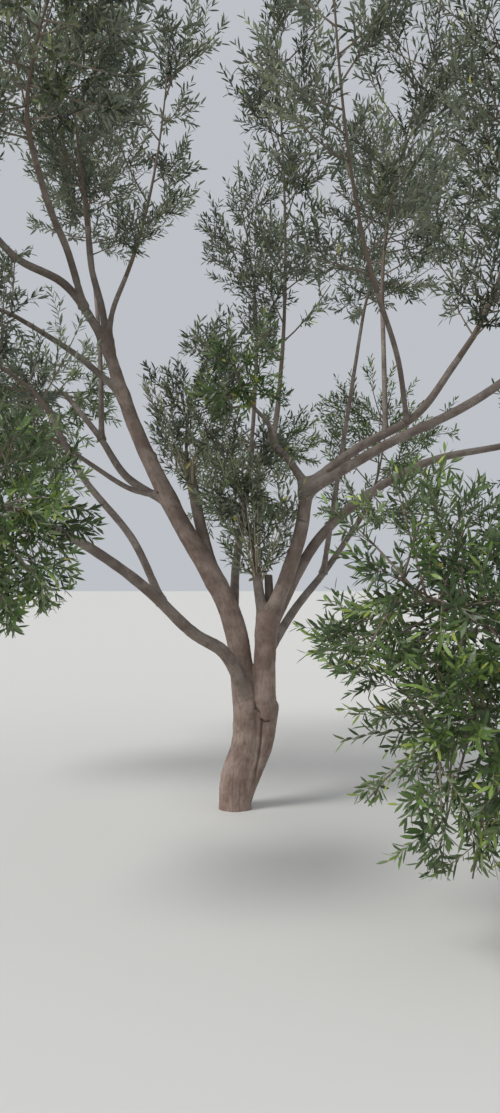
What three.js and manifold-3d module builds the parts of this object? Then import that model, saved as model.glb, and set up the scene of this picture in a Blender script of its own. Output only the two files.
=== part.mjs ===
// An olive tree in the open vase form of a pruned grove tree, in millimetres, +Z up.
// A short leaning trunk forks low into two stems. They carry the boughs, and each outer bough
// ends in one mass of foliage. The origin is the middle of the flat cut at ground level, +X is
// to the right as the tree is seen from the front, and +Y points away from the viewer.

import * as THREE from "three";
import { mergeVertices } from "three/addons/utils/BufferGeometryUtils.js";
import Module from "manifold-3d";

const wasm = await Module();
wasm.setup();

// Clearances between neighbouring solids
const GAP = 0.3; // a limb's foot to the limb that it stands on
const LEAF_CLEARANCE = 12; // foliage to a limb or to another mass

// The trunk: two fused halves, one under each stem. The left one has the root flare. Their
// middle lines start below the cut at ground level and are led off the straight by two bends.
const TRUNK_HEIGHT = 690;
const TRUNK_HALVES = [
  {
    foot: [-12, 0, -60], tip: [62, 15, TRUNK_HEIGHT], bends: [[-33, 0, 0], [17, 0, 0]],
    radii: [102, 92], flare: 8,
  },
  {
    foot: [-15, -5, -60], tip: [204, -20, TRUNK_HEIGHT], bends: [[27, 0, 0], [43, 0, 0]],
    radii: [50, 77], flare: 0,
  },
];
const FLARE = { height: 70, roots: 5, lobe: 0.5 };
const TRUNK_SIDES = 12;
const TRUNK_STEP = 110; // between two rings of corners

// Limbs. Each leaves the limb that it is on at a share of its length, where 1 is the tip, and
// runs to its own tip. The bends are how far it strays from the straight line between, at even
// steps. radii are those past the swollen foot and at the tip, and flush limbs, which carry on
// from the end of the one below, have no swollen foot. foliage, where a limb carries a mass of
// it, gives the far end of the mass's stem, how far its leaves reach from the stem, and its
// rise: from 1, where the twigs turn straight up, to -1, where they weep. On a sawn limb that
// stem is a young shoot, thinner than the cut. A limb that bends sharply has its rings of
// corners closer together, one step apart.
const LIMBS = {
  left_stem: {
    on: "trunk", at: 0.93, tip: [-960, 150, 3300], bends: [[151, 0, 0], [43, 15, 0], [-26, 22, 0]],
    radii: [84, 41], flush: true, step: 240,
  },
  right_stem: {
    on: "trunk_right", at: 0.93, tip: [201, 0, 1290], bends: [[-14, -8, 0]],
    radii: [73, 71], flush: true,
  },
  right_bough: {
    on: "right_stem", at: 0.93, tip: [480, 0, 2230], bends: [[36, 0, 0], [48, 0, 0]],
    radii: [56, 43], flush: true,
  },
  crotch_stub: {
    on: "right_stem", at: 0.92, tip: [212, 110, 1600], bends: [[12, 20, -10]], radii: [31, 28],
  },
  centre_bough: {
    on: "right_bough", at: 0.98, tip: [225, 120, 2555], bends: [[20, -10, 0]], radii: [30, 25],
  },
  low_left_bough: {
    on: "left_stem", at: 0.03, tip: [-1025, -1400, 1870],
    bends: [[141, 158, -32], [216, 315, -26], [204, 418, -87], [112, 340, 12], [45, 192, 39]],
    radii: [48, 23], step: 180, foliage: { end: [-1150, -2250, 1800], reach: 570, rise: -0.4 },
  },
  rising_left_bough: {
    on: "low_left_bough", at: 0.47, tip: [-1190, -500, 2615], bends: [[55, -20, 0], [-27, -10, 0]],
    radii: [26, 17], foliage: { end: [-2050, -800, 3050], reach: 620, rise: 0.4 },
  },
  back_left_bough: {
    on: "left_stem", at: 0.55, tip: [-1410, 1100, 3065], bends: [[-40, -60, -95], [0, -50, -50]],
    radii: [32, 20], foliage: { end: [-2150, 2000, 3000], reach: 700, rise: -0.1 },
  },
  side_left_bough: {
    on: "left_stem", at: 0.57, tip: [-1290, 250, 2560], bends: [[0, 0, -75], [0, -20, -50]],
    radii: [21, 14], foliage: { end: [-2550, 500, 2050], reach: 700, rise: -0.4 },
  },
  high_left_bough: {
    on: "left_stem", at: 0.85, tip: [-1450, -100, 3330], bends: [[0, 0, 35]],
    radii: [26, 17], foliage: { end: [-2600, 250, 3500], reach: 680, rise: 0.1 },
  },
  outer_left_bough: {
    on: "left_stem", at: 0.99, tip: [-1800, -260, 4080], bends: [[20, 0, 95], [-10, 0, -30]],
    radii: [33, 21], foliage: { end: [-2000, -500, 5000], reach: 680, rise: 0.5 },
  },
  front_left_bough: {
    on: "outer_left_bough", at: 0.22, tip: [-1150, -1150, 4000], bends: [[-20, 60, 90], [-30, 60, 40]],
    radii: [27, 17], foliage: { end: [-760, -2050, 4450], reach: 720, rise: 0.35 },
  },
  middle_left_bough: {
    on: "left_stem", at: 0.97, tip: [-1110, 250, 4150], bends: [[5, 0, 0], [-20, 0, 0]],
    radii: [29, 18], foliage: { end: [-1350, 450, 5850], reach: 620, rise: 0.8 },
  },
  inner_left_bough: {
    on: "middle_left_bough", at: 0.06, tip: [-790, 20, 3700], bends: [[-25, 0, 0]],
    radii: [22, 16], foliage: { end: [-480, -150, 5150], reach: 500, rise: 0.8 },
  },
  back_stub: {
    on: "left_stem", at: 0.33, tip: [-372, 320, 2420], bends: [[0, 10, -60]],
    radii: [44, 38], sawn: true, foliage: { end: [-200, 520, 3350], reach: 470, rise: 0.6 },
  },
  crotch_bough: {
    on: "right_stem", at: 0.86, tip: [125, 50, 1650], bends: [[-6, 0, -10]],
    radii: [38, 33], sawn: true, foliage: { end: [-60, 150, 2520], reach: 560, rise: 0.5 },
  },
  centre_fork: {
    on: "centre_bough", at: 0.97, tip: [118, -180, 2720], bends: [[40, 20, 10]],
    radii: [18, 13], foliage: { end: [-20, -560, 2950], reach: 400, rise: 0.3 },
  },
  centre_leader: {
    on: "centre_bough", at: 0.93, tip: [300, 190, 3000], bends: [[5, 0, 0]],
    radii: [21, 16], foliage: { end: [260, 350, 5800], reach: 520, rise: 0.9 },
  },
  upper_right_bough: {
    on: "right_bough", at: 0.99, tip: [1470, -300, 3035], bends: [[20, -10, -20], [60, -10, -90]],
    radii: [36, 22], foliage: { end: [1800, -450, 5050], reach: 720, rise: 0.4 },
  },
  outer_right_bough: {
    on: "right_bough", at: 0.94, tip: [1950, -850, 3000], bends: [[0, -30, 0], [0, -50, -60]],
    radii: [36, 23], foliage: { end: [2650, -1100, 3450], reach: 700, rise: 0.1 },
  },
  low_right_bough: {
    on: "right_stem", at: 0.84, tip: [2050, 560, 2600], bends: [[-185, 50, 265], [-90, 40, 290]],
    radii: [42, 24], foliage: { end: [2800, 800, 2300], reach: 700, rise: -0.3 },
  },
  back_right_bough: {
    on: "right_stem", at: 0.6, tip: [1000, 1350, 2050], bends: [[-40, 30, -20], [-40, 20, -60]],
    radii: [36, 21], foliage: { end: [1400, 2250, 3150], reach: 720, rise: 0.2 },
  },
  right_leader: {
    on: "upper_right_bough", at: 0.48, tip: [1010, 0, 3500], bends: [[0, -10, 0]],
    radii: [19, 15], foliage: { end: [1450, 200, 5500], reach: 620, rise: 0.7 },
  },
  front_leader: {
    on: "upper_right_bough", at: 0.6, tip: [850, -800, 3300], bends: [[40, 40, 20]],
    radii: [19, 15], foliage: { end: [480, -1750, 4900], reach: 660, rise: 0.6 },
  },
  front_right_bough: {
    on: "outer_right_bough", at: 0.8, tip: [1650, -1750, 1450], bends: [[90, -60, 260], [90, -80, 230]],
    radii: [27, 15], foliage: { end: [700, -2300, 1560], reach: 600, rise: -0.2 },
  },
  right_skirt_bough: {
    on: "front_right_bough", at: 0.45, tip: [2000, -1900, 1250], bends: [[60, -40, 120]],
    radii: [16, 12], foliage: { end: [820, -2300, 940], reach: 600, rise: -0.6 },
  },
  back_bough: {
    on: "left_stem", at: 0.22, tip: [100, 1500, 2700], bends: [[-40, 60, -80], [-20, 60, -40]],
    radii: [36, 23], foliage: { end: [50, 2600, 2450], reach: 720, rise: -0.1 },
  },
  back_left_leader: {
    on: "back_left_bough", at: 0.6, tip: [-1270, 1300, 4300], bends: [[20, 0, 40]],
    radii: [23, 14], foliage: { end: [-1450, 1700, 5600], reach: 640, rise: 0.6 },
  },
  back_right_leader: {
    on: "back_right_bough", at: 0.62, tip: [1050, 1350, 3800], bends: [[0, 30, -20]],
    radii: [23, 14], foliage: { end: [1650, 1750, 5200], reach: 700, rise: 0.5 },
  },
  back_leader: {
    on: "back_bough", at: 0.8, tip: [140, 1400, 3500], bends: [[10, 20, -20]],
    radii: [20, 15], foliage: { end: [0, 1650, 4950], reach: 660, rise: 0.8 },
  },
};
const COLLAR = { swell: 0.38, length: 1.6 }; // a limb's swollen foot, in shares and limb widths
const THICK_LIMB = 30; // radius from which a limb has the larger count of sides
const LIMB_SIDES = { thick: 8, thin: 6 };
const LIMB_STEP = 360; // between two rings of corners, where a limb has no step of its own

// Foliage: each mass is a stem with twigs set round it by the golden angle, and each twig holds
// blades, one for a spray of leaves and its side shoots. A blade's size is in shares of its
// mass's reach.
const GOLDEN_ANGLE = (137.508 * Math.PI) / 180;
const STEM = { sides: 4, steps: 3, tip: 7, shoot: 14, blades: 3 };
const TWIG = { spacing: 280, start: 0.06, sides: 3, radii: [7, 4.5], forward: 0.6 };
const TWIG_LENGTH = [0.34, 0.66]; // least and greatest, in shares of the mass's reach
const BLADE = { count: 4, length: 0.68, width: 0.3, thickness: 0.02, start: 0.35, splay: 0.95 };
const SPINE_SAMPLES = 12; // points that stand for a stem where distances are taken

const X_RIGHT = new THREE.Vector3(1, 0, 0);
const Y_AHEAD = new THREE.Vector3(0, 1, 0);
const Z_UP = new THREE.Vector3(0, 0, 1);
const vector = (xyz) => new THREE.Vector3(...xyz);
const mix = THREE.MathUtils.lerp;

// A number from 0 to 1 that depends only on its three whole numbers.
function chance(a, b, c) {
  const wave = Math.sin(a * 127.1 + b * 311.7 + c * 74.7) * 43758.5453;
  return wave - Math.floor(wave);
}

// A closed geometry as a solid that can be joined and cut.
function solidOf(geometry) {
  geometry.deleteAttribute("normal");
  geometry.deleteAttribute("uv");
  const merged = mergeVertices(geometry, 1e-4);
  return new wasm.Manifold(
    new wasm.Mesh({
      numProp: 3,
      vertProperties: merged.attributes.position.array,
      triVerts: new Uint32Array(merged.index.array),
    }),
  );
}

function meshOf(solid, name, material) {
  const { numProp, vertProperties, triVerts } = solid.getMesh();
  const corners = new Float32Array((vertProperties.length / numProp) * 3);
  for (let i = 0; i * 3 < corners.length; i++) {
    corners.set(vertProperties.subarray(i * numProp, i * numProp + 3), i * 3);
  }
  const geometry = new THREE.BufferGeometry()
    .setAttribute("position", new THREE.BufferAttribute(corners, 3))
    .setIndex(new THREE.BufferAttribute(triVerts, 1));
  geometry.computeVertexNormals();
  const mesh = new THREE.Mesh(geometry, material);
  mesh.name = name;
  return mesh;
}

// The main body of a solid, without loose scraps that a cut leaves behind.
function mainBody(solid) {
  return solid.decompose().reduce((most, body) => (body.volume() > most.volume() ? body : most));
}

// A tapering limb: a cylinder laid along a curve, its radius given by share and angle. grow
// makes it larger on every side, as the cutter of what stands on it.
function sweep(path, radiusAt, sides, steps, grow = 0) {
  const tube = new THREE.CylinderGeometry(1, 1, 1, sides, steps);
  const frames = path.computeFrenetFrames(steps);
  const corners = tube.getAttribute("position");
  const corner = new THREE.Vector3();
  for (let i = 0; i < corners.count; i++) {
    corner.fromBufferAttribute(corners, i);
    const ring = Math.round((corner.y + 0.5) * steps);
    const radius = radiusAt(ring / steps, Math.atan2(corner.z, corner.x)) + grow;
    const overrun = ring === 0 ? -grow : ring === steps ? grow : 0;
    const point = path
      .getPointAt(ring / steps)
      .addScaledVector(frames.normals[ring], corner.x * radius)
      .addScaledVector(frames.binormals[ring], -corner.z * radius)
      .addScaledVector(frames.tangents[ring], overrun);
    corners.setXYZ(i, point.x, point.y, point.z);
  }
  return solidOf(tube);
}

// The curve from foot to tip, led off the straight line by each bend in turn.
function bentPath(foot, tip, bends) {
  const inner = bends.map((bend, i) =>
    foot.clone().lerp(tip, (i + 1) / (bends.length + 1)).add(vector(bend)),
  );
  return new THREE.CatmullRomCurve3([foot, ...inner, tip]);
}

// Both halves of the trunk as they are swept, before they are joined.
function trunkHalves() {
  return TRUNK_HALVES.map(({ foot, tip, bends, radii, flare }) => {
    const path = bentPath(vector(foot), vector(tip), bends);
    const radiusAt = (share, angle) => {
      const height = Math.max(0, path.getPointAt(share).z);
      const lobe = 1 + FLARE.lobe * Math.cos(FLARE.roots * angle);
      return mix(radii[0], radii[1], share) + flare * lobe * Math.exp(-height / FLARE.height);
    };
    return { path, radiusAt };
  });
}

function trunkSolid(halves, grow) {
  const steps = Math.round(TRUNK_HEIGHT / TRUNK_STEP);
  const [left, right] = halves.map(({ path, radiusAt }) =>
    sweep(path, radiusAt, TRUNK_SIDES, steps, grow),
  );
  const ground = new THREE.BoxGeometry(1000, 1000, 1000).translate(0, 0, -500);
  return left.add(right).subtract(solidOf(ground));
}

// Every limb's path and radius, in the order of the list.
function layOutLimbs(halves) {
  const paths = { trunk: halves[0].path, trunk_right: halves[1].path };
  return Object.entries(LIMBS).map(([name, limb]) => {
    const { on, at, tip, bends, radii, flush } = limb;
    const path = bentPath(paths[on].getPointAt(at), vector(tip), bends);
    const collar = (COLLAR.length * 2 * radii[0]) / path.getLength();
    const swell = flush ? 0 : COLLAR.swell;
    const radiusAt = (share) =>
      mix(radii[0], radii[1], share) * (1 + swell * Math.exp((-3 * share) / collar));
    paths[name] = path;
    return { ...limb, name, path, radiusAt };
  });
}

function limbSolid({ path, radiusAt, radii, step = LIMB_STEP }, grow) {
  const sides = radii[0] >= THICK_LIMB ? LIMB_SIDES.thick : LIMB_SIDES.thin;
  const steps = Math.max(3, Math.round(path.getLength() / step));
  return sweep(path, radiusAt, sides, steps, grow);
}

// A mass's stem: it goes on from its bough's tip and turns towards its far end.
function stemPath({ path, foliage }) {
  const along = path.getTangentAt(1);
  const start = path.getPointAt(1).addScaledVector(along, GAP);
  const end = vector(foliage.end);
  const middle = start.clone().addScaledVector(along, start.distanceTo(end) * 0.4);
  return new THREE.QuadraticBezierCurve3(start, middle, end);
}

// The least distance from a point to a chain of points, less the radius there.
function distanceTo(point, chain) {
  const span = new THREE.Line3();
  const near = new THREE.Vector3();
  let least = Infinity;
  for (let i = 1; i < chain.length; i++) {
    span.set(chain[i - 1].point, chain[i].point);
    const share = span.closestPointToPointParameter(point, true);
    const radius = mix(chain[i - 1].radius, chain[i].radius, share);
    least = Math.min(least, span.at(share, near).distanceTo(point) - radius);
  }
  return least;
}

function chainOf(path, radiusAt) {
  return Array.from({ length: SPINE_SAMPLES + 1 }, (_, i) => ({
    point: path.getPointAt(i / SPINE_SAMPLES),
    radius: radiusAt(i / SPINE_SAMPLES),
  }));
}

// A direction that leans from along to the side, at a given turn round along.
function branching(along, turn, sideways, forwards) {
  const level = new THREE.Vector3().crossVectors(along, Math.abs(along.z) < 0.95 ? Z_UP : X_RIGHT);
  const side = level.normalize().applyAxisAngle(along, turn);
  return side.multiplyScalar(sideways).addScaledVector(along, forwards).normalize();
}

// The twigs of a mass: each starts on the stem and turns by the mass's rise on its way out.
function twigPaths({ stem, foliage, seed }) {
  const count = Math.round(stem.getLength() / TWIG.spacing);
  return Array.from({ length: count }, (_, i) => {
    const share = mix(TWIG.start, 1, i / count);
    const root = stem.getPointAt(share);
    const turn = (i + 0.4 * chance(seed, i, 1)) * GOLDEN_ANGLE;
    const heading = branching(stem.getTangentAt(share), turn, 1, TWIG.forward);
    const length = foliage.reach * mix(...TWIG_LENGTH, chance(seed, i, 2));
    heading.addScaledVector(Z_UP, foliage.rise * 0.35).normalize();
    return new THREE.LineCurve3(root, root.clone().addScaledVector(heading, length));
  });
}

// Where the blades stand on a twig or on the stem's end. The last goes on from the tip.
function bladePlaces(twig, start, count, rise, seed, index) {
  return Array.from({ length: count }, (_, j) => {
    const share = mix(start, 1, j / (count - 1));
    const along = twig.getTangentAt(share);
    const splay = j === count - 1 ? 0.1 : BLADE.splay;
    const turn = (j + 0.5 * chance(seed, index, j + 3)) * GOLDEN_ANGLE;
    const heading = branching(along, turn, splay, 1).addScaledVector(Z_UP, rise * 0.35).normalize();
    const roll = chance(seed, index, j + 9) * Math.PI;
    return { root: twig.getPointAt(share - (share === 1 ? 0.02 : 0)), heading, roll };
  });
}

// A blade: a long rhombus with a ridge, flat below, whose root is on the twig's middle line.
function bladeGeometry({ root, heading, roll }, reach) {
  const [length, width, thickness] = [BLADE.length, BLADE.width, BLADE.thickness].map((x) => x * reach);
  const corners = [
    [0, 0, 0],
    [0, length, 0],
    [-width / 2, length / 2, 0],
    [width / 2, length / 2, 0],
    [0, length / 2, thickness],
  ];
  const faces = [0, 3, 4, 0, 4, 2, 0, 2, 3, 1, 4, 3, 1, 2, 4, 1, 3, 2];
  return new THREE.BufferGeometry()
    .setAttribute("position", new THREE.Float32BufferAttribute(corners.flat(), 3))
    .setIndex(faces)
    .rotateY(roll)
    .applyQuaternion(new THREE.Quaternion().setFromUnitVectors(Y_AHEAD, heading))
    .translate(root.x, root.y, root.z);
}

// True where a point is within the mass's reach and nearer to its stem than to any other.
function isOwnSpace(point, mass, masses) {
  const own = distanceTo(point, mass.spine);
  const nearest = Math.min(
    ...masses.filter((other) => other !== mass).map(({ spine }) => distanceTo(point, spine)),
  );
  return own < mass.foliage.reach && nearest > own + LEAF_CLEARANCE;
}

// True where a solid of the foliage stays in its mass's space and clear of the limbs.
function keepsClear(solid, samples, mass, masses, wood) {
  return (
    samples.every((point) => isOwnSpace(point, mass, masses)) &&
    solid.minGap(wood, 2 * LEAF_CLEARANCE) > LEAF_CLEARANCE
  );
}

// The corners of a blade and the middles between them and its root and tip.
function bladeSamples(geometry) {
  const corners = geometry.getAttribute("position");
  const points = [1, 2, 3].map((i) => new THREE.Vector3().fromBufferAttribute(corners, i));
  const root = new THREE.Vector3().fromBufferAttribute(corners, 0);
  const [tip, left, right] = points;
  const between = [[root, left], [root, right], [tip, left], [tip, right], [left, right]];
  return [...points, ...between.map(([a, b]) => a.clone().lerp(b, 0.5))];
}

function massSolid(mass, masses, wood) {
  const { stem, foliage, seed } = mass;
  const foot = mass.sawn ? STEM.shoot : mass.radii[1];
  const stemRadius = (share) => mix(foot, STEM.tip, share);
  const pieces = [sweep(stem, stemRadius, STEM.sides, STEM.steps)];
  const places = bladePlaces(stem, 0.85, STEM.blades, foliage.rise, seed, TWIG.spacing);
  twigPaths(mass).forEach((twig, i) => {
    const twigSolid = sweep(twig, (share) => mix(...TWIG.radii, share), TWIG.sides, 1);
    if (keepsClear(twigSolid, twig.getPoints(3).slice(1), mass, masses, wood)) {
      pieces.push(twigSolid);
      places.push(...bladePlaces(twig, BLADE.start, BLADE.count, foliage.rise, seed, i));
    }
  });
  for (const place of places) {
    const geometry = bladeGeometry(place, foliage.reach);
    const samples = bladeSamples(geometry);
    const blade = solidOf(geometry);
    if (keepsClear(blade, samples, mass, masses, wood)) pieces.push(blade);
  }
  return mainBody(wasm.Manifold.union(pieces));
}

const bark = new THREE.MeshStandardMaterial({ color: 0x7d6a5f, roughness: 0.92, metalness: 0 });
const leafGreen = new THREE.MeshStandardMaterial({ color: 0x5c6b4a, roughness: 0.6, metalness: 0 });

const tree = new THREE.Group();
const halves = trunkHalves();
const limbs = layOutLimbs(halves);
const woodPieces = [trunkSolid(halves, 0)];
tree.add(meshOf(woodPieces[0], "trunk", bark));

// Each limb gives way to those before it, so that it stands clear on its parent.
const cutters = [trunkSolid(halves, GAP)];
for (const limb of limbs) {
  const solid = mainBody(limbSolid(limb, 0).subtract(wasm.Manifold.union(cutters)));
  tree.add(meshOf(solid, limb.name, bark));
  woodPieces.push(solid);
  cutters.push(limbSolid(limb, GAP));
}

const wood = wasm.Manifold.compose(woodPieces);
const masses = limbs
  .filter((limb) => limb.foliage)
  .map((limb, seed) => {
    const stem = stemPath(limb);
    return { ...limb, stem, seed, spine: chainOf(stem, () => 0) };
  });
for (const mass of masses) {
  tree.add(meshOf(massSolid(mass, masses, wood), `foliage_${mass.name}`, leafGreen));
}

export default tree;
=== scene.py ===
# %% [markdown]
# # An olive tree
# A pruned grove tree: a short leaning trunk, two stems, boughs that open like a vase, and a
# crown of narrow grey-green leaves with silvery undersides. The solids of the frame settle
# its size. This file grows the visible tree on the same middle lines, first the camera, then
# the wood with its bark, then twigs and shoots, then the leaves.

import math
from typing import NamedTuple

import bmesh
import bpy
import numpy as np
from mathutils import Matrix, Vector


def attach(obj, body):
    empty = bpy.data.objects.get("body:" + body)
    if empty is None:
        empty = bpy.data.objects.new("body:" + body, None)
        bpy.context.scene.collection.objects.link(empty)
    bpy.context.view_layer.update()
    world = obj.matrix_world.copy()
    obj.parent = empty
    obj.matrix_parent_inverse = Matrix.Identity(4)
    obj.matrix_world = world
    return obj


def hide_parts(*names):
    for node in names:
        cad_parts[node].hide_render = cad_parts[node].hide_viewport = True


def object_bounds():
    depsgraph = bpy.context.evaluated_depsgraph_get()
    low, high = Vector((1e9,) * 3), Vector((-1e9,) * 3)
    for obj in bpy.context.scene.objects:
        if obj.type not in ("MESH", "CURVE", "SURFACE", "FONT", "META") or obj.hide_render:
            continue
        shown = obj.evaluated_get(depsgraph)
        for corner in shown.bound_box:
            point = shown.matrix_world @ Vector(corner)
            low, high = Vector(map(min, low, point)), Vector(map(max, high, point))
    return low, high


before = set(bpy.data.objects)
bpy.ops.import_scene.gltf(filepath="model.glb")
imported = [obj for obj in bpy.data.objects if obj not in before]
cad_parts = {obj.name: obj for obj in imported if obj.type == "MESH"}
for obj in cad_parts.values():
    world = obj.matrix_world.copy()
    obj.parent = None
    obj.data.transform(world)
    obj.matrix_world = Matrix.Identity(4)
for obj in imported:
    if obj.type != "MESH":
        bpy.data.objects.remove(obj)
CAD_BOX = [list(corner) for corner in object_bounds()]
print("the solids reach from", CAD_BOX[0], "to", CAD_BOX[1])

# %% [markdown]
# ## The camera
# It stands at a person's eye height in front of the tree and looks a little upwards. A lens
# of 27 mm on a 36 mm sensor takes in a wide scene, as a phone does.

# %% Camera
EYE_HEIGHT, AWAY, ASIDE, LOOKS_UP = 1.53, 5.8, 0.083, 1.95  # metres and degrees


def add(name, data):
    """A new object in the scene."""
    piece = bpy.data.objects.new(name, data)
    bpy.context.scene.collection.objects.link(piece)
    return piece


camera_data = bpy.data.cameras.new("eye")
camera_data.sensor_width = 36
camera_data.lens = 27.07
camera_data.clip_end = 500
camera = add("eye", camera_data)
camera.location = (ASIDE, -AWAY, EYE_HEIGHT)
camera.rotation_euler = (math.radians(90 + LOOKS_UP), 0, 0)
bpy.context.scene.camera = camera
print(f"the camera stands {AWAY} m in front, {EYE_HEIGHT} m up")

# %% [markdown]
# ## The tree's measurements
# Every limb leaves the limb that it is on at a share of its length, and runs to its own tip.
# The bends lead it off the straight line. The radii are those past the swollen foot and at
# the tip. A flush limb carries straight on from the one below it, and a sawn one was cut
# off. All in millimetres, the same numbers as in the solids, so both grow the same tree.

# %% Measurements
MM = 0.001


class Foliage(NamedTuple):
    """The foliage of a limb: the far end of its stem, how far leaves stand off the stem, how
    much twigs climb or weep, its piece of leaves, how dense it is, and whether in the shade."""

    end: tuple
    reach: float
    rise: float
    part: str
    dense: float = 1
    shaded: bool = False


class Shape(NamedTuple):
    """A limb: what it is on and at which share, its tip, bends and radii."""

    on: str
    at: float
    tip: tuple
    bends: list
    radii: tuple
    foliage: Foliage = None
    flush: bool = False
    sawn: bool = False


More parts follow.
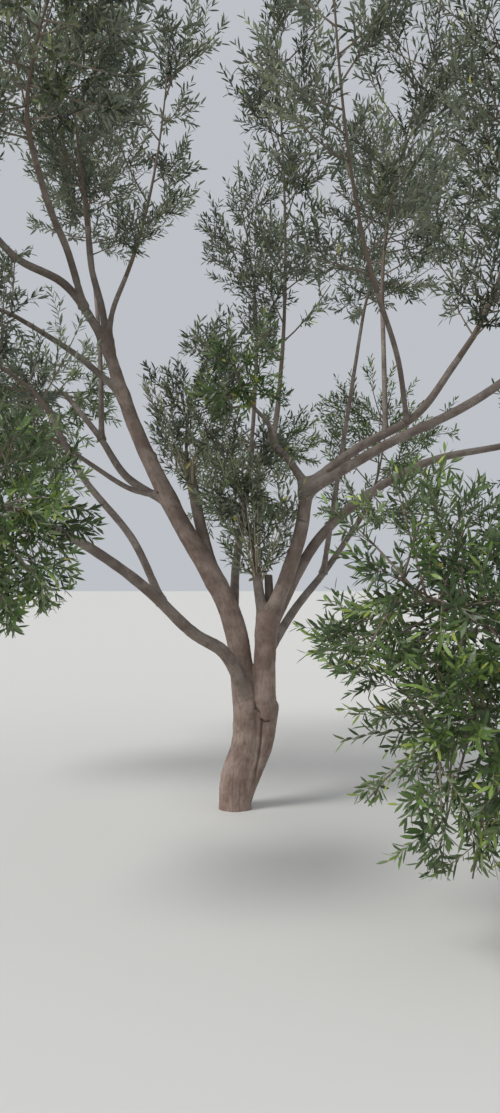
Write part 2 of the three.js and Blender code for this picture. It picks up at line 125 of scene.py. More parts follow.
TRUNK_HALVES = {  # foot, tip, bends, radii and flare
    "trunk": ((-12, 0, -60), (62, 15, 690), [(-33, 0, 0), (17, 0, 0)], (102, 92), 8),
    "trunk_right": ((-15, -5, -60), (204, -20, 690), [(27, 0, 0), (43, 0, 0)], (50, 77), 0),
}
LIMBS = {
    "left_stem": Shape(
        "trunk", 0.93, (-960, 150, 3300), [(151, 0, 0), (43, 15, 0), (-26, 22, 0)], (84, 41),
        flush=True),
    "right_stem": Shape(
        "trunk_right", 0.93, (201, 0, 1290), [(-14, -8, 0)], (73, 71), flush=True),
    "right_bough": Shape(
        "right_stem", 0.93, (480, 0, 2230), [(36, 0, 0), (48, 0, 0)], (56, 43), flush=True),
    "crotch_stub": Shape(
        "right_stem", 0.92, (212, 110, 1600), [(12, 20, -10)], (31, 28)),
    "centre_bough": Shape(
        "right_bough", 0.98, (225, 120, 2555), [(20, -10, 0)], (30, 25)),
    "low_left_bough": Shape(
        "left_stem", 0.03, (-1025, -1400, 1870),
        [(141, 158, -32), (216, 315, -26), (204, 418, -87), (112, 340, 12), (45, 192, 39)],
        (48, 23), Foliage((-1150, -2250, 1800), 570, -0.4, "low_left", dense=2.6, shaded=True)),
    "rising_left_bough": Shape(
        "low_left_bough", 0.47, (-1190, -500, 2615), [(55, -20, 0), (-27, -10, 0)], (26, 17),
        Foliage((-2050, -800, 3050), 620, 0.4, "low_left", dense=1.4)),
    "back_left_bough": Shape(
        "left_stem", 0.55, (-1410, 1100, 3065), [(-40, -60, -95), (0, -50, -50)], (32, 20),
        Foliage((-2150, 2000, 3000), 700, -0.1, "low_left", shaded=True)),
    "side_left_bough": Shape(
        "left_stem", 0.57, (-1290, 250, 2560), [(0, 0, -75), (0, -20, -50)], (21, 14),
        Foliage((-2550, 500, 2050), 700, -0.4, "low_left", dense=1.3, shaded=True)),
    "high_left_bough": Shape(
        "left_stem", 0.85, (-1450, -100, 3330), [(0, 0, 35)], (26, 17),
        Foliage((-2600, 250, 3500), 680, 0.1, "high_left")),
    "outer_left_bough": Shape(
        "left_stem", 0.99, (-1800, -260, 4080), [(20, 0, 95), (-10, 0, -30)], (33, 21),
        Foliage((-2000, -500, 5000), 680, 0.5, "high_left", dense=1.2)),
    "front_left_bough": Shape(
        "outer_left_bough", 0.22, (-1150, -1150, 4000), [(-20, 60, 90), (-30, 60, 40)], (27, 17),
        Foliage((-760, -2050, 4450), 720, 0.35, "high_left")),
    "middle_left_bough": Shape(
        "left_stem", 0.97, (-1110, 250, 4150), [(5, 0, 0), (-20, 0, 0)], (29, 18),
        Foliage((-1350, 450, 5850), 620, 0.8, "high_left", dense=1.4)),
    "inner_left_bough": Shape(
        "middle_left_bough", 0.06, (-790, 20, 3700), [(-25, 0, 0)], (22, 16),
        Foliage((-480, -150, 5150), 500, 0.8, "high_left", dense=0.7)),
    "back_stub": Shape(
        "left_stem", 0.33, (-372, 320, 2420), [(0, 10, -60)], (44, 38),
        Foliage((-200, 520, 3350), 470, 0.6, "low_left"), sawn=True),
    "crotch_bough": Shape(
        "right_stem", 0.86, (125, 50, 1650), [(-6, 0, -10)], (38, 33),
        Foliage((-60, 150, 2520), 560, 0.5, "middle"), sawn=True),
    "centre_fork": Shape(
        "centre_bough", 0.97, (118, -180, 2720), [(40, 20, 10)], (18, 13),
        Foliage((-20, -560, 2950), 400, 0.3, "middle", dense=2.0, shaded=True)),
    "centre_leader": Shape(
        "centre_bough", 0.93, (300, 190, 3000), [(5, 0, 0)], (21, 16),
        Foliage((260, 350, 5800), 520, 0.9, "middle", dense=0.55)),
    "upper_right_bough": Shape(
        "right_bough", 0.99, (1470, -300, 3035), [(20, -10, -20), (60, -10, -90)], (36, 22),
        Foliage((1800, -450, 5050), 720, 0.4, "right", dense=1.1)),
    "outer_right_bough": Shape(
        "right_bough", 0.94, (1950, -850, 3000), [(0, -30, 0), (0, -50, -60)], (36, 23),
        Foliage((2650, -1100, 3450), 700, 0.1, "right")),
    "low_right_bough": Shape(
        "right_stem", 0.84, (2050, 560, 2600), [(-185, 50, 265), (-90, 40, 290)], (42, 24),
        Foliage((2800, 800, 2300), 700, -0.3, "right", shaded=True)),
    "back_right_bough": Shape(
        "right_stem", 0.6, (1000, 1350, 2050), [(-40, 30, -20), (-40, 20, -60)], (36, 21),
        Foliage((1400, 2250, 3150), 720, 0.2, "back", dense=0.7, shaded=True)),
    "right_leader": Shape(
        "upper_right_bough", 0.48, (1010, 0, 3500), [(0, -10, 0)], (19, 15),
        Foliage((1450, 200, 5500), 620, 0.7, "middle", dense=0.6)),
    "front_leader": Shape(
        "upper_right_bough", 0.6, (850, -800, 3300), [(40, 40, 20)], (19, 15),
        Foliage((480, -1750, 4900), 660, 0.6, "middle", dense=0.4)),
    "front_right_bough": Shape(
        "outer_right_bough", 0.8, (1650, -1750, 1450), [(90, -60, 260), (90, -80, 230)], (27, 15),
        Foliage((700, -2300, 1560), 600, -0.2, "right", dense=2.6, shaded=True)),
    "right_skirt_bough": Shape(
        "front_right_bough", 0.45, (2000, -1900, 1250), [(60, -40, 120)], (16, 12),
        Foliage((820, -2300, 940), 600, -0.6, "right", dense=2.6, shaded=True)),
    "back_bough": Shape(
        "left_stem", 0.22, (100, 1500, 2700), [(-40, 60, -80), (-20, 60, -40)], (36, 23),
        Foliage((50, 2600, 2450), 720, -0.1, "back", dense=0.8, shaded=True)),
    "back_left_leader": Shape(
        "back_left_bough", 0.6, (-1270, 1300, 4300), [(20, 0, 40)], (23, 14),
        Foliage((-1450, 1700, 5600), 640, 0.6, "back", dense=0.9)),
    "back_right_leader": Shape(
        "back_right_bough", 0.62, (1050, 1350, 3800), [(0, 30, -20)], (23, 14),
        Foliage((1650, 1750, 5200), 700, 0.5, "back", dense=0.6)),
    "back_leader": Shape(
        "back_bough", 0.8, (140, 1400, 3500), [(10, 20, -20)], (20, 15),
        Foliage((0, 1650, 4950), 660, 0.8, "back", dense=0.4)),
}
leafy = [name for name, made in LIMBS.items() if made.foliage]
print(len(LIMBS), "limbs,", len(leafy), "of them in leaf")

# %% [markdown]
# ## Middle lines
# A limb bends smoothly through a few points. A centripetal Catmull-Rom curve does that
# without loops, as in the solids. It is kept as 200 short steps, so a point at any share of
# its length is a plain interpolation.

# %% Middle lines
CURVE_STEPS = 200
NEARLY_ALONG = 0.9  # the cosine past which a line counts as along the x axis
X_RIGHT, Z_UP = np.array([1.0, 0, 0]), np.array([0, 0, 1.0])


def unit(vectors):
    """Each vector divided by its length."""
    return vectors / np.linalg.norm(vectors, axis=-1, keepdims=True)


def smooth_curve(controls):
    """Between two controls a cubic c0 + c1 w + c2 w^2 + c3 w^3. Its end slopes weigh the
    neighbouring chords by the square root of their lengths."""
    ends = np.vstack([2 * controls[0] - controls[1], controls, 2 * controls[-1] - controls[-2]])
    time = np.linspace(0, 1, CURVE_STEPS + 1) * (len(controls) - 1)
    piece = np.minimum(time.astype(int), len(controls) - 2)
    w = (time - piece)[:, None]
    p0, p1, p2, p3 = (ends[piece + k] for k in range(4))
    d0, d1, d2 = (
        np.sqrt(np.linalg.norm(b - a, axis=1))[:, None] for a, b in ((p0, p1), (p1, p2), (p2, p3))
    )
    slope1 = ((p1 - p0) / d0 - (p2 - p0) / (d0 + d1) + (p2 - p1) / d1) * d1
    slope2 = ((p2 - p1) / d1 - (p3 - p1) / (d1 + d2) + (p3 - p2) / d2) * d1
    c2 = 3 * (p2 - p1) - 2 * slope1 - slope2
    c3 = 2 * (p1 - p2) + slope1 + slope2
    return p1 + slope1 * w + c2 * w**2 + c3 * w**3


def carried_sides(points):
    """Directions along a line and across it. The one across is the one before it, less its
    part along the line, so that it doesn't twist."""
    along = unit(np.gradient(points, axis=0))
    side = X_RIGHT if abs(along[0] @ X_RIGHT) < NEARLY_ALONG else Z_UP
    across = np.empty_like(points)
    for i, heading in enumerate(along):
        side = unit(side - heading * (side @ heading))
        across[i] = side
    return along, across


class Line:
    """A middle line, read at shares of its length."""

    def __init__(self, points):
        self.points = points
        self.arc = np.append(0, np.cumsum(np.linalg.norm(np.diff(points, axis=0), axis=1)))
        self.length = self.arc[-1]
        self.along, self.across = carried_sides(points)

    def read(self, values, share):
        """Rows of values at shares of the length, straight between two neighbouring steps."""
        place = np.asarray(share) * self.length
        return np.stack([np.interp(place, self.arc, column) for column in values.T], axis=-1)

    def at(self, share):
        """The point at a share."""
        return self.read(self.points, share)

    def heading(self, share):
        """The direction at a share, as long as 1."""
        return unit(self.read(self.along, share))

    def frame(self, share):
        """Along, across, and the third direction square to both."""
        along = self.heading(share)
        across = self.read(self.across, share)
        across = unit(across - along * np.sum(across * along, axis=-1, keepdims=True))
        return along, across, np.cross(along, across)


# %% [markdown]
# ## Laying out the limbs
# A bough grows thicker where it joins its parent, which wood does to carry the load. So the
# radius is the plain taper times a collar that fades within a few widths. The trunk spreads
# at the ground in five low root lobes.

# %% Limbs
COLLAR_SWELL, COLLAR_LENGTH = 0.38, 1.6
FLARE_HEIGHT, FLARE_ROOTS, FLARE_LOBE = 70 * MM, 5, 0.5


class Limb:
    """A limb's middle line and its radius along it."""

    def __init__(self, foot, tip, bends, radii, swell=0.0, flare=0.0, before=0.0):
        tip, bends = np.array(tip) * MM, np.array(bends) * MM
        shares = np.arange(1, len(bends) + 1)[:, None] / (len(bends) + 1)
        self.line = Line(smooth_curve(np.vstack([foot, foot + shares * (tip - foot) + bends, tip])))
        self.radii = np.array(radii) * MM
        self.swell = swell
        self.flare = flare * MM
        self.before = before  # length of wood from the ground to the foot

    def radius(self, share):
        """The taper from foot to tip, times the collar 1 + swell e^(-3 share / collar)."""
        collar = COLLAR_LENGTH * 2 * self.radii[0] / self.line.length
        taper = self.radii[0] + (self.radii[1] - self.radii[0]) * share
        return taper * (1 + self.swell * np.exp(-3 * share / collar))


limbs = {
    name: Limb(np.array(foot) * MM, tip, bends, radii, flare=flare)
    for name, (foot, tip, bends, radii, flare) in TRUNK_HALVES.items()
}
for name, made in LIMBS.items():
    on = limbs[made.on]
    limbs[name] = Limb(
        on.line.at(made.at), made.tip, made.bends, made.radii,
        swell=0 if made.flush else COLLAR_SWELL, before=on.before + made.at * on.line.length)
wood_length = sum(limb.line.length for limb in limbs.values())
print(f"{len(limbs)} lengths of wood, {wood_length:.1f} m in all")

# %% [markdown]
# ## Chance that repeats
# A tree looks wrong if every twig is the same, but the file must give the same tree each
# time. So a number between 0 and 1 comes from a sine of whole numbers. For bark, a cloud of
# such numbers at the corners of a grid is blended smoothly in between.

# %% Chance and clouds


def chance(a, b, c):
    """The fraction of 43758.5453 sin(127.1 a + 311.7 b + 74.7 c)."""
    wave = np.sin(a * 127.1 + b * 311.7 + c * 74.7) * 43758.5453
    return wave - np.floor(wave)


def corner_value(i, j, k, seed):
    """A repeatable number from 0 to 1 for a whole-numbered corner, by mixing its bits."""
    h = (i * 73856093) ^ (j * 19349663) ^ (k * 83492791) ^ (seed * 2654435761)
    h = (h ^ (h >> 13)) * 1274126177 & 0xFFFFFFFF
    return ((h ^ (h >> 16)) & 0xFFFF) / 0xFFFF


def cloud(points, seed=0):
    """Smooth noise from 0 to 1: the eight corner values round a point, blended by
    w^2 (3 - 2 w) of the point's place w between them."""
    cell = np.floor(points).astype(np.int64)
    w = points - cell
    w = w * w * (3 - 2 * w)
    total = 0.0
    for corner in range(8):
        step = np.array([corner & 1, corner >> 1 & 1, corner >> 2 & 1])
        share = np.prod(np.where(step, w, 1 - w), axis=-1)
        total = total + share * corner_value(*(cell + step).T, seed)
    return total


def layered_cloud(points, seed=0, layers=3):
    """Clouds of half the size and half the strength, added up."""
    parts = [cloud(points * 2**n, seed + n) / 2**n for n in range(layers)]
    return sum(parts) / sum(0.5**n for n in range(layers))


# %% [markdown]
# ## From grids to meshes
# Tubes are grids: one direction runs along, the other round. The quads between rings are
# index sums, so no loop runs over the vertices. A closing ring of triangles shuts each end.

# %% Grids to meshes


def tube_faces(rings, sides):
    """Quads between neighbouring rings, and one fan at each end round the last two points."""
    ring, side = np.meshgrid(np.arange(rings - 1), np.arange(sides), indexing="ij")
    here, beside = ring * sides + side, ring * sides + (side + 1) % sides
    quads = np.stack([here, beside, beside + sides, here + sides], axis=-1).reshape(-1, 4)
    side = np.arange(sides)
    foot, tip, last = rings * sides, rings * sides + 1, (rings - 1) * sides
    feet = np.stack([side * 0 + foot, (side + 1) % sides, side], axis=-1)
    tips = np.stack([side * 0 + tip, last + side, last + (side + 1) % sides], axis=-1)
    return quads, np.vstack([feet, tips])


def put_mesh(name, points, quads, triangles, smooth=True):
    """A new object from points, four-sided faces and three-sided faces."""
    mesh = bpy.data.meshes.new(name)
    corners = np.concatenate([quads.ravel(), triangles.ravel()]).astype(np.int32)
    counts = np.concatenate([np.full(len(quads), 4), np.full(len(triangles), 3)])
    mesh.vertices.add(len(points))
    mesh.vertices.foreach_set("co", points.astype(np.float32).ravel())
    mesh.loops.add(len(corners))
    mesh.loops.foreach_set("vertex_index", corners)
    mesh.polygons.add(len(counts))
    starts = np.append(0, np.cumsum(counts)[:-1]).astype(np.int32)
    mesh.polygons.foreach_set("loop_start", starts)
    mesh.polygons.foreach_set("use_smooth", np.full(len(counts), smooth))
    mesh.update(calc_edges=True)
    mesh.validate()
    return add(name, mesh)


def join_grids(parts):
    """Several (points, quads, triangles) as one, with the later indices moved up."""
    starts = np.append(0, np.cumsum([len(points) for points, _, _ in parts])[:-1])
    points = np.vstack([points for points, _, _ in parts])
    quads = np.vstack([quads + start for start, (_, quads, _) in zip(starts, parts)])
    triangles = np.vstack([tris + start for start, (_, _, tris) in zip(starts, parts)])
    return points, quads, triangles


# %% [markdown]
# ## Which limb is a point on
# Bark runs along each limb, so every point of the wood has to know its limb and its place on
# it. Each point is measured against the middle line of every limb that is near. The
# distances to all the skins also give one blended skin, which is rounder at the forks.

# %% Places on the limbs
BLEND = 15 * MM
NEAR = 300 * MM
LINE_STEP = 50 * MM


def from_steps(points, corners):
    """For each point and each straight step between corners: the share of the step where the
    perpendicular from the point meets it, kept between 0 and 1, and how far that is."""
    starts, steps = corners[:-1], np.diff(corners, axis=0)
    offset = points[:, None] - starts
    share = np.clip(np.sum(offset * steps, axis=-1) / np.sum(steps**2, axis=-1), 0, 1)
    return share, np.linalg.norm(offset - share[..., None] * steps, axis=-1)


def place_on(limb, points):
    """For each point its share of the limb's length and its distance from the middle line."""
    count = max(8, round(limb.line.length / LINE_STEP))
    share, far = from_steps(points, limb.line.at(np.linspace(0, 1, count)))
    nearest = np.argmin(far, axis=1)
    rows = np.arange(len(points))
    return (nearest + share[rows, nearest]) / (count - 1), far[rows, nearest]


def wood_round(points):
    """For each point: how far each limb's skin is (limbs in rows), the nearest limb's number,
    and the share on it. Limbs that aren't near count as NEAR."""
    skins = np.full((len(limbs), len(points)), NEAR)
    shares = np.zeros((len(limbs), len(points)))
    for i, limb in enumerate(limbs.values()):
        line = limb.line.points
        inside = (points > line.min(axis=0) - NEAR) & (points < line.max(axis=0) + NEAR)
        rows = np.flatnonzero(inside.all(axis=1))
        share, far = place_on(limb, points[rows])
        skins[i, rows] = np.minimum(far - limb.radius(share), NEAR)
        shares[i, rows] = share
    owner = np.argmin(skins, axis=0)
    return skins, owner, shares[owner, np.arange(len(points))]


# %% [markdown]
# ## The relief of the bark
# Olive bark is nearly smooth on young wood, and breaks into shallow upright plates on old
# wood. All of it is one height above the plain tube, worked out from how far along and how
# far round the point is, and how thick the limb is.

# %% Relief of the bark
OLD_RADIUS = 100 * MM
SWAY_SIZE, LUMP_SIZE, PLATE_SIZE, GRAIN_SIZE = 0.05, 0.13, 0.026, 0.014  # metres
FLUTES, FLUTE_DEPTH, LUMP_DEPTH = 3, 0.03, 0.14  # depths as shares of the radius
PLATE_DEPTH, GRAIN_DEPTH = 4, 2.6  # millimetres
ALONG, ACROSS = 0.2, 0.5  # how much clouds are stretched along the limb and across it


def bark_height(places, arc, angle, radius):
    """Flutes + lumps + plates + grain, in metres, and the furrows between plates as 0 to 1.
    Flutes are slow waves round the limb, lumps are a wide cloud, plates are ridges
    1 - |2 n - 1| of a cloud stretched along the limb, and grain is a fine cloud stretched
    across it, as bark wrinkles."""
    age = np.clip(radius / OLD_RADIUS, 0, 1)
    round_it = np.stack([radius * np.cos(angle), radius * np.sin(angle)], axis=-1)
    upright = np.column_stack([round_it, arc * ALONG])
    level = np.column_stack([round_it * ACROSS, arc])
    sway = layered_cloud(upright / SWAY_SIZE, 11)
    wind = 2.2 * np.sin(arc * 2.1)  # the flutes wind slowly round the limb
    flutes = np.cos(FLUTES * angle + wind + 3 * sway) * FLUTE_DEPTH * radius
    lumps = (layered_cloud(places / LUMP_SIZE, 21) - 0.5) * LUMP_DEPTH * radius
    ridge = 1 - np.abs(2 * layered_cloud(upright / PLATE_SIZE + sway[:, None], 31, 2) - 1)
    plates = (ridge**2 - 0.6) * PLATE_DEPTH * MM * age**1.3
    grain = (layered_cloud(level / GRAIN_SIZE, 41) - 0.5) * GRAIN_DEPTH * MM * (0.3 + age)
    return flutes + lumps + plates + grain, np.clip(1 - 1.6 * ridge, 0, 1) * age


# %% [markdown]
# ## The fused wood
# Where limbs meet, real wood flows together. Separate tubes would show hard seams. So every
# thick stretch, and each bough until it is clear of its neighbours, is made as a tube, and a
# voxel remesh melts them into one skin, which a smoothing pass rounds.

# %% Fused wood
THICK = 40 * MM
CLEAR = 35 * MM
TRANSITION = 100 * MM
WHOLE_FROM = 0.85  # a limb fused so far is fused to its tip
RING_SPACING, FUSED_SIDES = 30 * MM, 28
VOXEL = 11 * MM


def limb_tube(limb, shares, sides, extra=0.0):
    """Point (share, angle) = middle + radius (cos across + sin third direction). The trunk's
    radius also gains the flare (1 - 0.5 sin 5 bearing) e^(-height / 70 mm), and extra holds
    what is added at each point."""
    middle = limb.line.at(shares)[:, None]
    _, across, third = limb.line.frame(shares)
    angle = np.linspace(0, 2 * math.pi, sides, endpoint=False)
    outward = across[:, None] * np.cos(angle)[:, None] + third[:, None] * np.sin(angle)[:, None]
    lobe = 1 - FLARE_LOBE * np.sin(FLARE_ROOTS * np.arctan2(outward[..., 1], outward[..., 0]))
    flare = limb.flare * lobe * np.exp(-np.maximum(middle[..., 2], 0) / FLARE_HEIGHT)
    radius = limb.radius(shares)[:, None] + flare + extra
    points = (middle + outward * radius[..., None]).reshape(-1, 3)
    return np.vstack([points, middle[[0, -1], 0]]), *tube_faces(len(shares), sides)


def fused_share(name):
    """The share up to which a limb belongs to the fused wood: while it is thick or its skin is
    near that of a limb laid out before it, and one transition more."""
    limb = limbs[name]
    shares = np.linspace(0, 1, 101)
    points, radii = limb.line.at(shares), limb.radius(shares)
    near = radii > THICK
    for other in list(limbs.values())[:list(limbs).index(name)]:
        share, far = place_on(other, points)
        near |= far - other.radius(share) - radii < CLEAR
    first_clear = 1.0 if near.all() else shares[np.argmin(near)]
    wanted = first_clear + TRANSITION / limb.line.length
    return 1.0 if wanted > WHOLE_FROM else wanted


# %% Melt the tubes
SOFTENING, SOFT_PASSES = 0.5, 8
fused_to = {name: fused_share(name) for name in limbs}
fused_parts = []
for name, limb in limbs.items():
    rings = max(4, round(limb.line.length * fused_to[name] / RING_SPACING))
    fused_parts.append(limb_tube(limb, np.linspace(0, fused_to[name], rings), FUSED_SIDES))
fused = put_mesh("fused_wood", *join_grids(fused_parts))
melt = fused.modifiers.new("melt", "REMESH")
melt.mode = "VOXEL"
melt.voxel_size = VOXEL
soften = fused.modifiers.new("soften", "SMOOTH")
soften.factor = SOFTENING
soften.iterations = SOFT_PASSES
depsgraph = bpy.context.evaluated_depsgraph_get()
melted = bpy.data.meshes.new_from_object(fused.evaluated_get(depsgraph))
fused.modifiers.clear()
fused.data = melted
print("fused wood:", len(melted.vertices), "points")

# %% [markdown]
# ## A finer skin on the trunk
# The trunk and the feet of the stems are what a viewer sees up close. Halving their edges
# gives the bark there half the size of facets, without the cost of it everywhere.

# %% Finer trunk
FINE_BELOW, FINE_FROM = 1.1, -0.3  # heights under this and x past this, in metres
shell = bmesh.new()
shell.from_mesh(melted)
low_edges = [
    edge for edge in shell.edges
    if edge.verts[0].co.z < FINE_BELOW and edge.verts[0].co.x > FINE_FROM
]
bmesh.ops.subdivide_edges(shell, edges=low_edges, cuts=1, use_grid_fill=True)
bmesh.ops.triangulate(shell, faces=[face for face in shell.faces if len(face.verts) > 4])
shell.to_mesh(melted)
shell.free()
print("with a finer trunk:", len(melted.vertices), "points")

# %% [markdown]
# ## Back onto the blended skin
# Smoothing makes thin wood thinner. So each point that has sunk under the blended skin moves
# out to it. A limb that carries on flush from another counts as one with it. Near the end of
# a bough's fused length the skin stays a few millimetres short, because there the plain tube
# of the thinner length takes over.

# %% Humps and ramps
TUCK, TUCKED_FOR, UNTUCKED_BY = 4 * MM, 40 * MM, 60 * MM


def read_points(values):
    """The (x, y, z) rows of a mesh's points or normals."""
    flat = np.empty(len(values) * 3, np.float32)
    values.foreach_get("co" if hasattr(values[0], "co") else "vector", flat)
    return flat.reshape(-1, 3).astype(float)


def hump(values, width):
    """e^(-(v / width)^2): 1 at 0 and nearly 0 past twice the width."""
    return np.exp(-((values / width) ** 2))


def ramp(values, low, high):
    """0 at low, 1 at high and straight between."""
    return np.clip((values - low) / (high - low), 0, 1)


def tucked(arc, end):
    """TUCK just before the end, easing to 0 at a transition's length from it."""
    return TUCK * ramp(arc, end - TRANSITION, end - TUCKED_FOR)


# %% Where the skin is
skin_points, normals = read_points(melted.vertices), read_points(melted.vertex_normals)
skins, owner, owner_share = wood_round(skin_points)
weights = np.exp(-skins / BLEND)
row = {name: i for i, name in enumerate(limbs)}
chains = [[name] for name in limbs if name not in LIMBS or not LIMBS[name].flush]
for name, made in LIMBS.items():
    if made.flush:
        next(chain for chain in chains if made.on in chain).append(name)
chain_skins = np.stack([skins[[row[name] for name in chain]].min(axis=0) for chain in chains])
blended = -BLEND * np.log(np.exp(-chain_skins / BLEND).sum(axis=0))
print("blended skin of", len(chains), "runs of limbs")

# %% Out to the skin
MOST_OUT = 30 * MM
FORK_REACH = 60 * MM  # this far from a fork the radius is the limb's own
EDGE_ON, FACE_ON = 0.2, 0.7  # skin that looks less outwards is moved less
arc, angle, radius, short, facing = (np.zeros(len(skin_points)) for _ in range(5))
for i, (name, limb) in enumerate(limbs.items()):
    mine = owner == i
    share = owner_share[mine]
    _, across, third = limb.line.frame(share)
    off = skin_points[mine] - limb.line.at(share)
    arc[mine] = limb.before + share * limb.line.length
    angle[mine] = np.arctan2(np.sum(off * third, axis=1), np.sum(off * across, axis=1))
    radius[mine] = limb.radius(share)
    facing[mine] = np.sum(unit(off) * normals[mine], axis=1)
    if fused_to[name] < 1:
        short[mine] = tucked(share * limb.line.length, fused_to[name] * limb.line.length)
middling = np.array([limb.radii.mean() for limb in limbs.values()])
lead = np.diff(np.partition(skins, 1, axis=0)[:2], axis=0)[0]
forked = middling @ (weights / weights.sum(axis=0))
radius = forked + (radius - forked) * ramp(lead, 0.0, FORK_REACH)
push = np.clip(-blended - short, -TUCK, MOST_OUT) * ramp(facing, EDGE_ON, FACE_ON)
push = np.where(short > 0, push, np.maximum(push, 0))
skin_points += normals * push[:, None]
print(f"moved out by {push.max() * 1000:.1f} mm at most")

# %% [markdown]
# ## The marks of this trunk
# Its two halves meet in a deep groove. Above, the foot of the right stem has grown over the
# groove in a tongue of bark with a crevice under it. A long crack runs down the left side,
# and round knots are left where shoots were cut. Each mark is a height too, and the finish
# darkens the deeper marks as painted shade. Marks on the front are given by x and z, as one
# would draw them on a photograph.

# %% Paths of the marks
GROOVE = [  # x and z in metres, from the top down
    (0.112, 0.95), (0.113, 0.75), (0.119, 0.70), (0.135, 0.678), (0.152, 0.65), (0.158, 0.61),
    (0.155, 0.56), (0.152, 0.455), (0.145, 0.386), (0.127, 0.283), (0.114, 0.19), (0.10, 0.0),
]
CRACK = [
    (-0.004, 0.64), (0.0, 0.56), (-0.011, 0.475), (0.0, 0.42), (-0.021, 0.345), (-0.024, 0.28),
    (-0.030, 0.21), (-0.028, 0.11), (-0.026, 0.0),
]
CREASE = [(-0.026, 0.84), (-0.013, 0.757), (0.015, 0.695), (0.045, 0.662)]
KNOTS = [  # x, z and the size in millimetres
    (-0.017, 1.111, 13), (-0.202, 1.13, 13), (0.029, 0.894, 9), (-0.123, 1.338, 12),
    (-0.038, 1.243, 8), (0.175, 1.304, 13), (0.121, 0.689, 10), (-0.572, 2.18, 20),
]
# Widths and depths of the marks, in millimetres
GROOVE_WIDE, GROOVE_DEEP = 12, 12
TONGUE_EDGE, TONGUE_HIGH = 6, 7
CREVICE_WIDE, CREVICE_DEEP, HOLLOW_DEEP = 8, 9, 6
CRACK_WIDE, CRACK_DEEP = 5, 4
CREASE_WIDE, CREASE_DEEP = 9, 7

# %% Marks of the trunk


def side_of(points, path):
    """How far to the right of a path of (x, z) each point is, at its own height."""
    return points[:, 0] - np.interp(points[:, 2], *np.array(path)[::-1, ::-1].T)


def trunk_marks(points, normals, skins):
    """Groove + tongue + crack + crease + knots, in metres, each a hump across its path times
    ramps at its ends. The tongue stands out above its lower edge, a parabola in x, and a
    crevice and a wide hollow lie under it. A knot is a ring round a dip."""
    left = skins[[row["trunk"], row["left_stem"], row["low_left_bough"]]].min(axis=0)
    right = skins[[row["trunk_right"], row["right_stem"]]].min(axis=0)
    wander = (layered_cloud(points / 0.035, 51) - 0.5) * 16 * MM
    x, z = points[:, 0] + wander * 0.5, points[:, 2] + wander
    front = ramp(-normals[:, 1], 0.0, 0.3)
    groove = front * hump(side_of(points, GROOVE) + wander * 0.3, GROOVE_WIDE * MM)
    groove = np.maximum(groove, (1 - front) * hump(left - right, GROOVE_WIDE * MM))
    height = -GROOVE_DEEP * MM * groove * ramp(points[:, 2], 0.06, 0.30)
    height = height * ramp(points[:, 2], 0.76, 0.67)
    edge = 0.612 + 6 * (x - 0.192) ** 2
    on_tongue = front * ramp(x, 0.140, 0.160) * ramp(x, 0.245, 0.215)
    stands_out = on_tongue * ramp(z - edge, 0.0, TONGUE_EDGE * MM) * ramp(z, 0.74, 0.64)
    height += stands_out * TONGUE_HIGH * MM
    crevice = on_tongue * hump(z - edge + TONGUE_EDGE * MM, CREVICE_WIDE * MM)
    height -= crevice * CREVICE_DEEP * MM
    hollow = front * hump(x - 0.178, 0.024) * ramp(z, edge, 0.60) * ramp(z, 0.42, 0.60)
    height -= hollow * HOLLOW_DEEP * MM
    crack = front * hump(side_of(points, CRACK) + wander * 0.5, CRACK_WIDE * MM)
    crack = crack * ramp(z, 0.66, 0.60) * (0.4 + cloud(points / 0.04, 61))
    height -= crack * CRACK_DEEP * MM
    crease = front * hump(side_of(points, CREASE) + wander, CREASE_WIDE * MM)
    height -= crease * ramp(z, 0.65, 0.69) * ramp(z, 0.86, 0.80) * CREASE_DEEP * MM
    for knot_x, knot_z, size in KNOTS:
        far = np.hypot(x - knot_x, z - knot_z) / (size * MM)
        height += front * (0.16 * hump(far - 1.1, 0.4) - 0.7 * hump(far, 0.7)) * size * MM
    return height * (points[:, 1] < 0.2)


# %% Relief on the skin
bark_relief, furrows = bark_height(skin_points, arc, angle, radius)
marks = trunk_marks(skin_points, normals, skins)
relief = bark_relief * ramp(lead, -0.02, 0.03) + marks
skin_points += normals * relief[:, None]
melted.vertices.foreach_set("co", skin_points.astype(np.float32).ravel())
print(f"relief from {relief.min() * 1000:.1f} to {relief.max() * 1000:.1f} mm")

# %% [markdown]
# ## Values that the bark's finish reads
# The material needs to know the grain's direction and the hollows. Both are kept on the
# mesh: `grain` is the point's place on its limb as if the limb were straight, `hollow` is the
# painted shade, from 0 to 1 in furrows and marks, and `age` from 0 on twigs to 1 on the trunk.

# %% Values for the finish
PAINTED_FURROW_SHADE = 0.4  # how dark the painted shade in a furrow gets
PAINTED_SHADE_FROM, PAINTED_SHADE_AT = 1 * MM, 15 * MM  # depth of a mark where painted shade starts, and the depth over which it grows


def keep_values(mesh, arc, angle, radius, hollow):
    """Stores grain = (r cos, r sin, along), hollow, and age = radius over the oldest one."""
    grain = np.stack([radius * np.cos(angle), radius * np.sin(angle), arc], axis=-1)
    mesh.attributes.new("grain", "FLOAT_VECTOR", "POINT").data.foreach_set(
        "vector", grain.astype(np.float32).ravel())
    age = np.clip(radius / OLD_RADIUS, 0, 1)
    for name, values in (("hollow", hollow), ("age", age)):
        mesh.attributes.new(name, "FLOAT", "POINT").data.foreach_set(
            "value", values.astype(np.float32))


# Painted shade: darker in the furrows and in marks deeper than a millimetre
painted_shade = np.clip(PAINTED_FURROW_SHADE * furrows - (marks + PAINTED_SHADE_FROM) / PAINTED_SHADE_AT, 0, 1)
keep_values(melted, arc, angle, radius, painted_shade)
print(f"{np.mean(painted_shade > 0.5):.1%} of the fused wood's points lie in hollows")

# %% [markdown]
# ## The flat cut at the ground
# The tubes start below the ground, so that the flare is cut cleanly. A plane takes off what
# is under z = 0, and one face closes the cut.

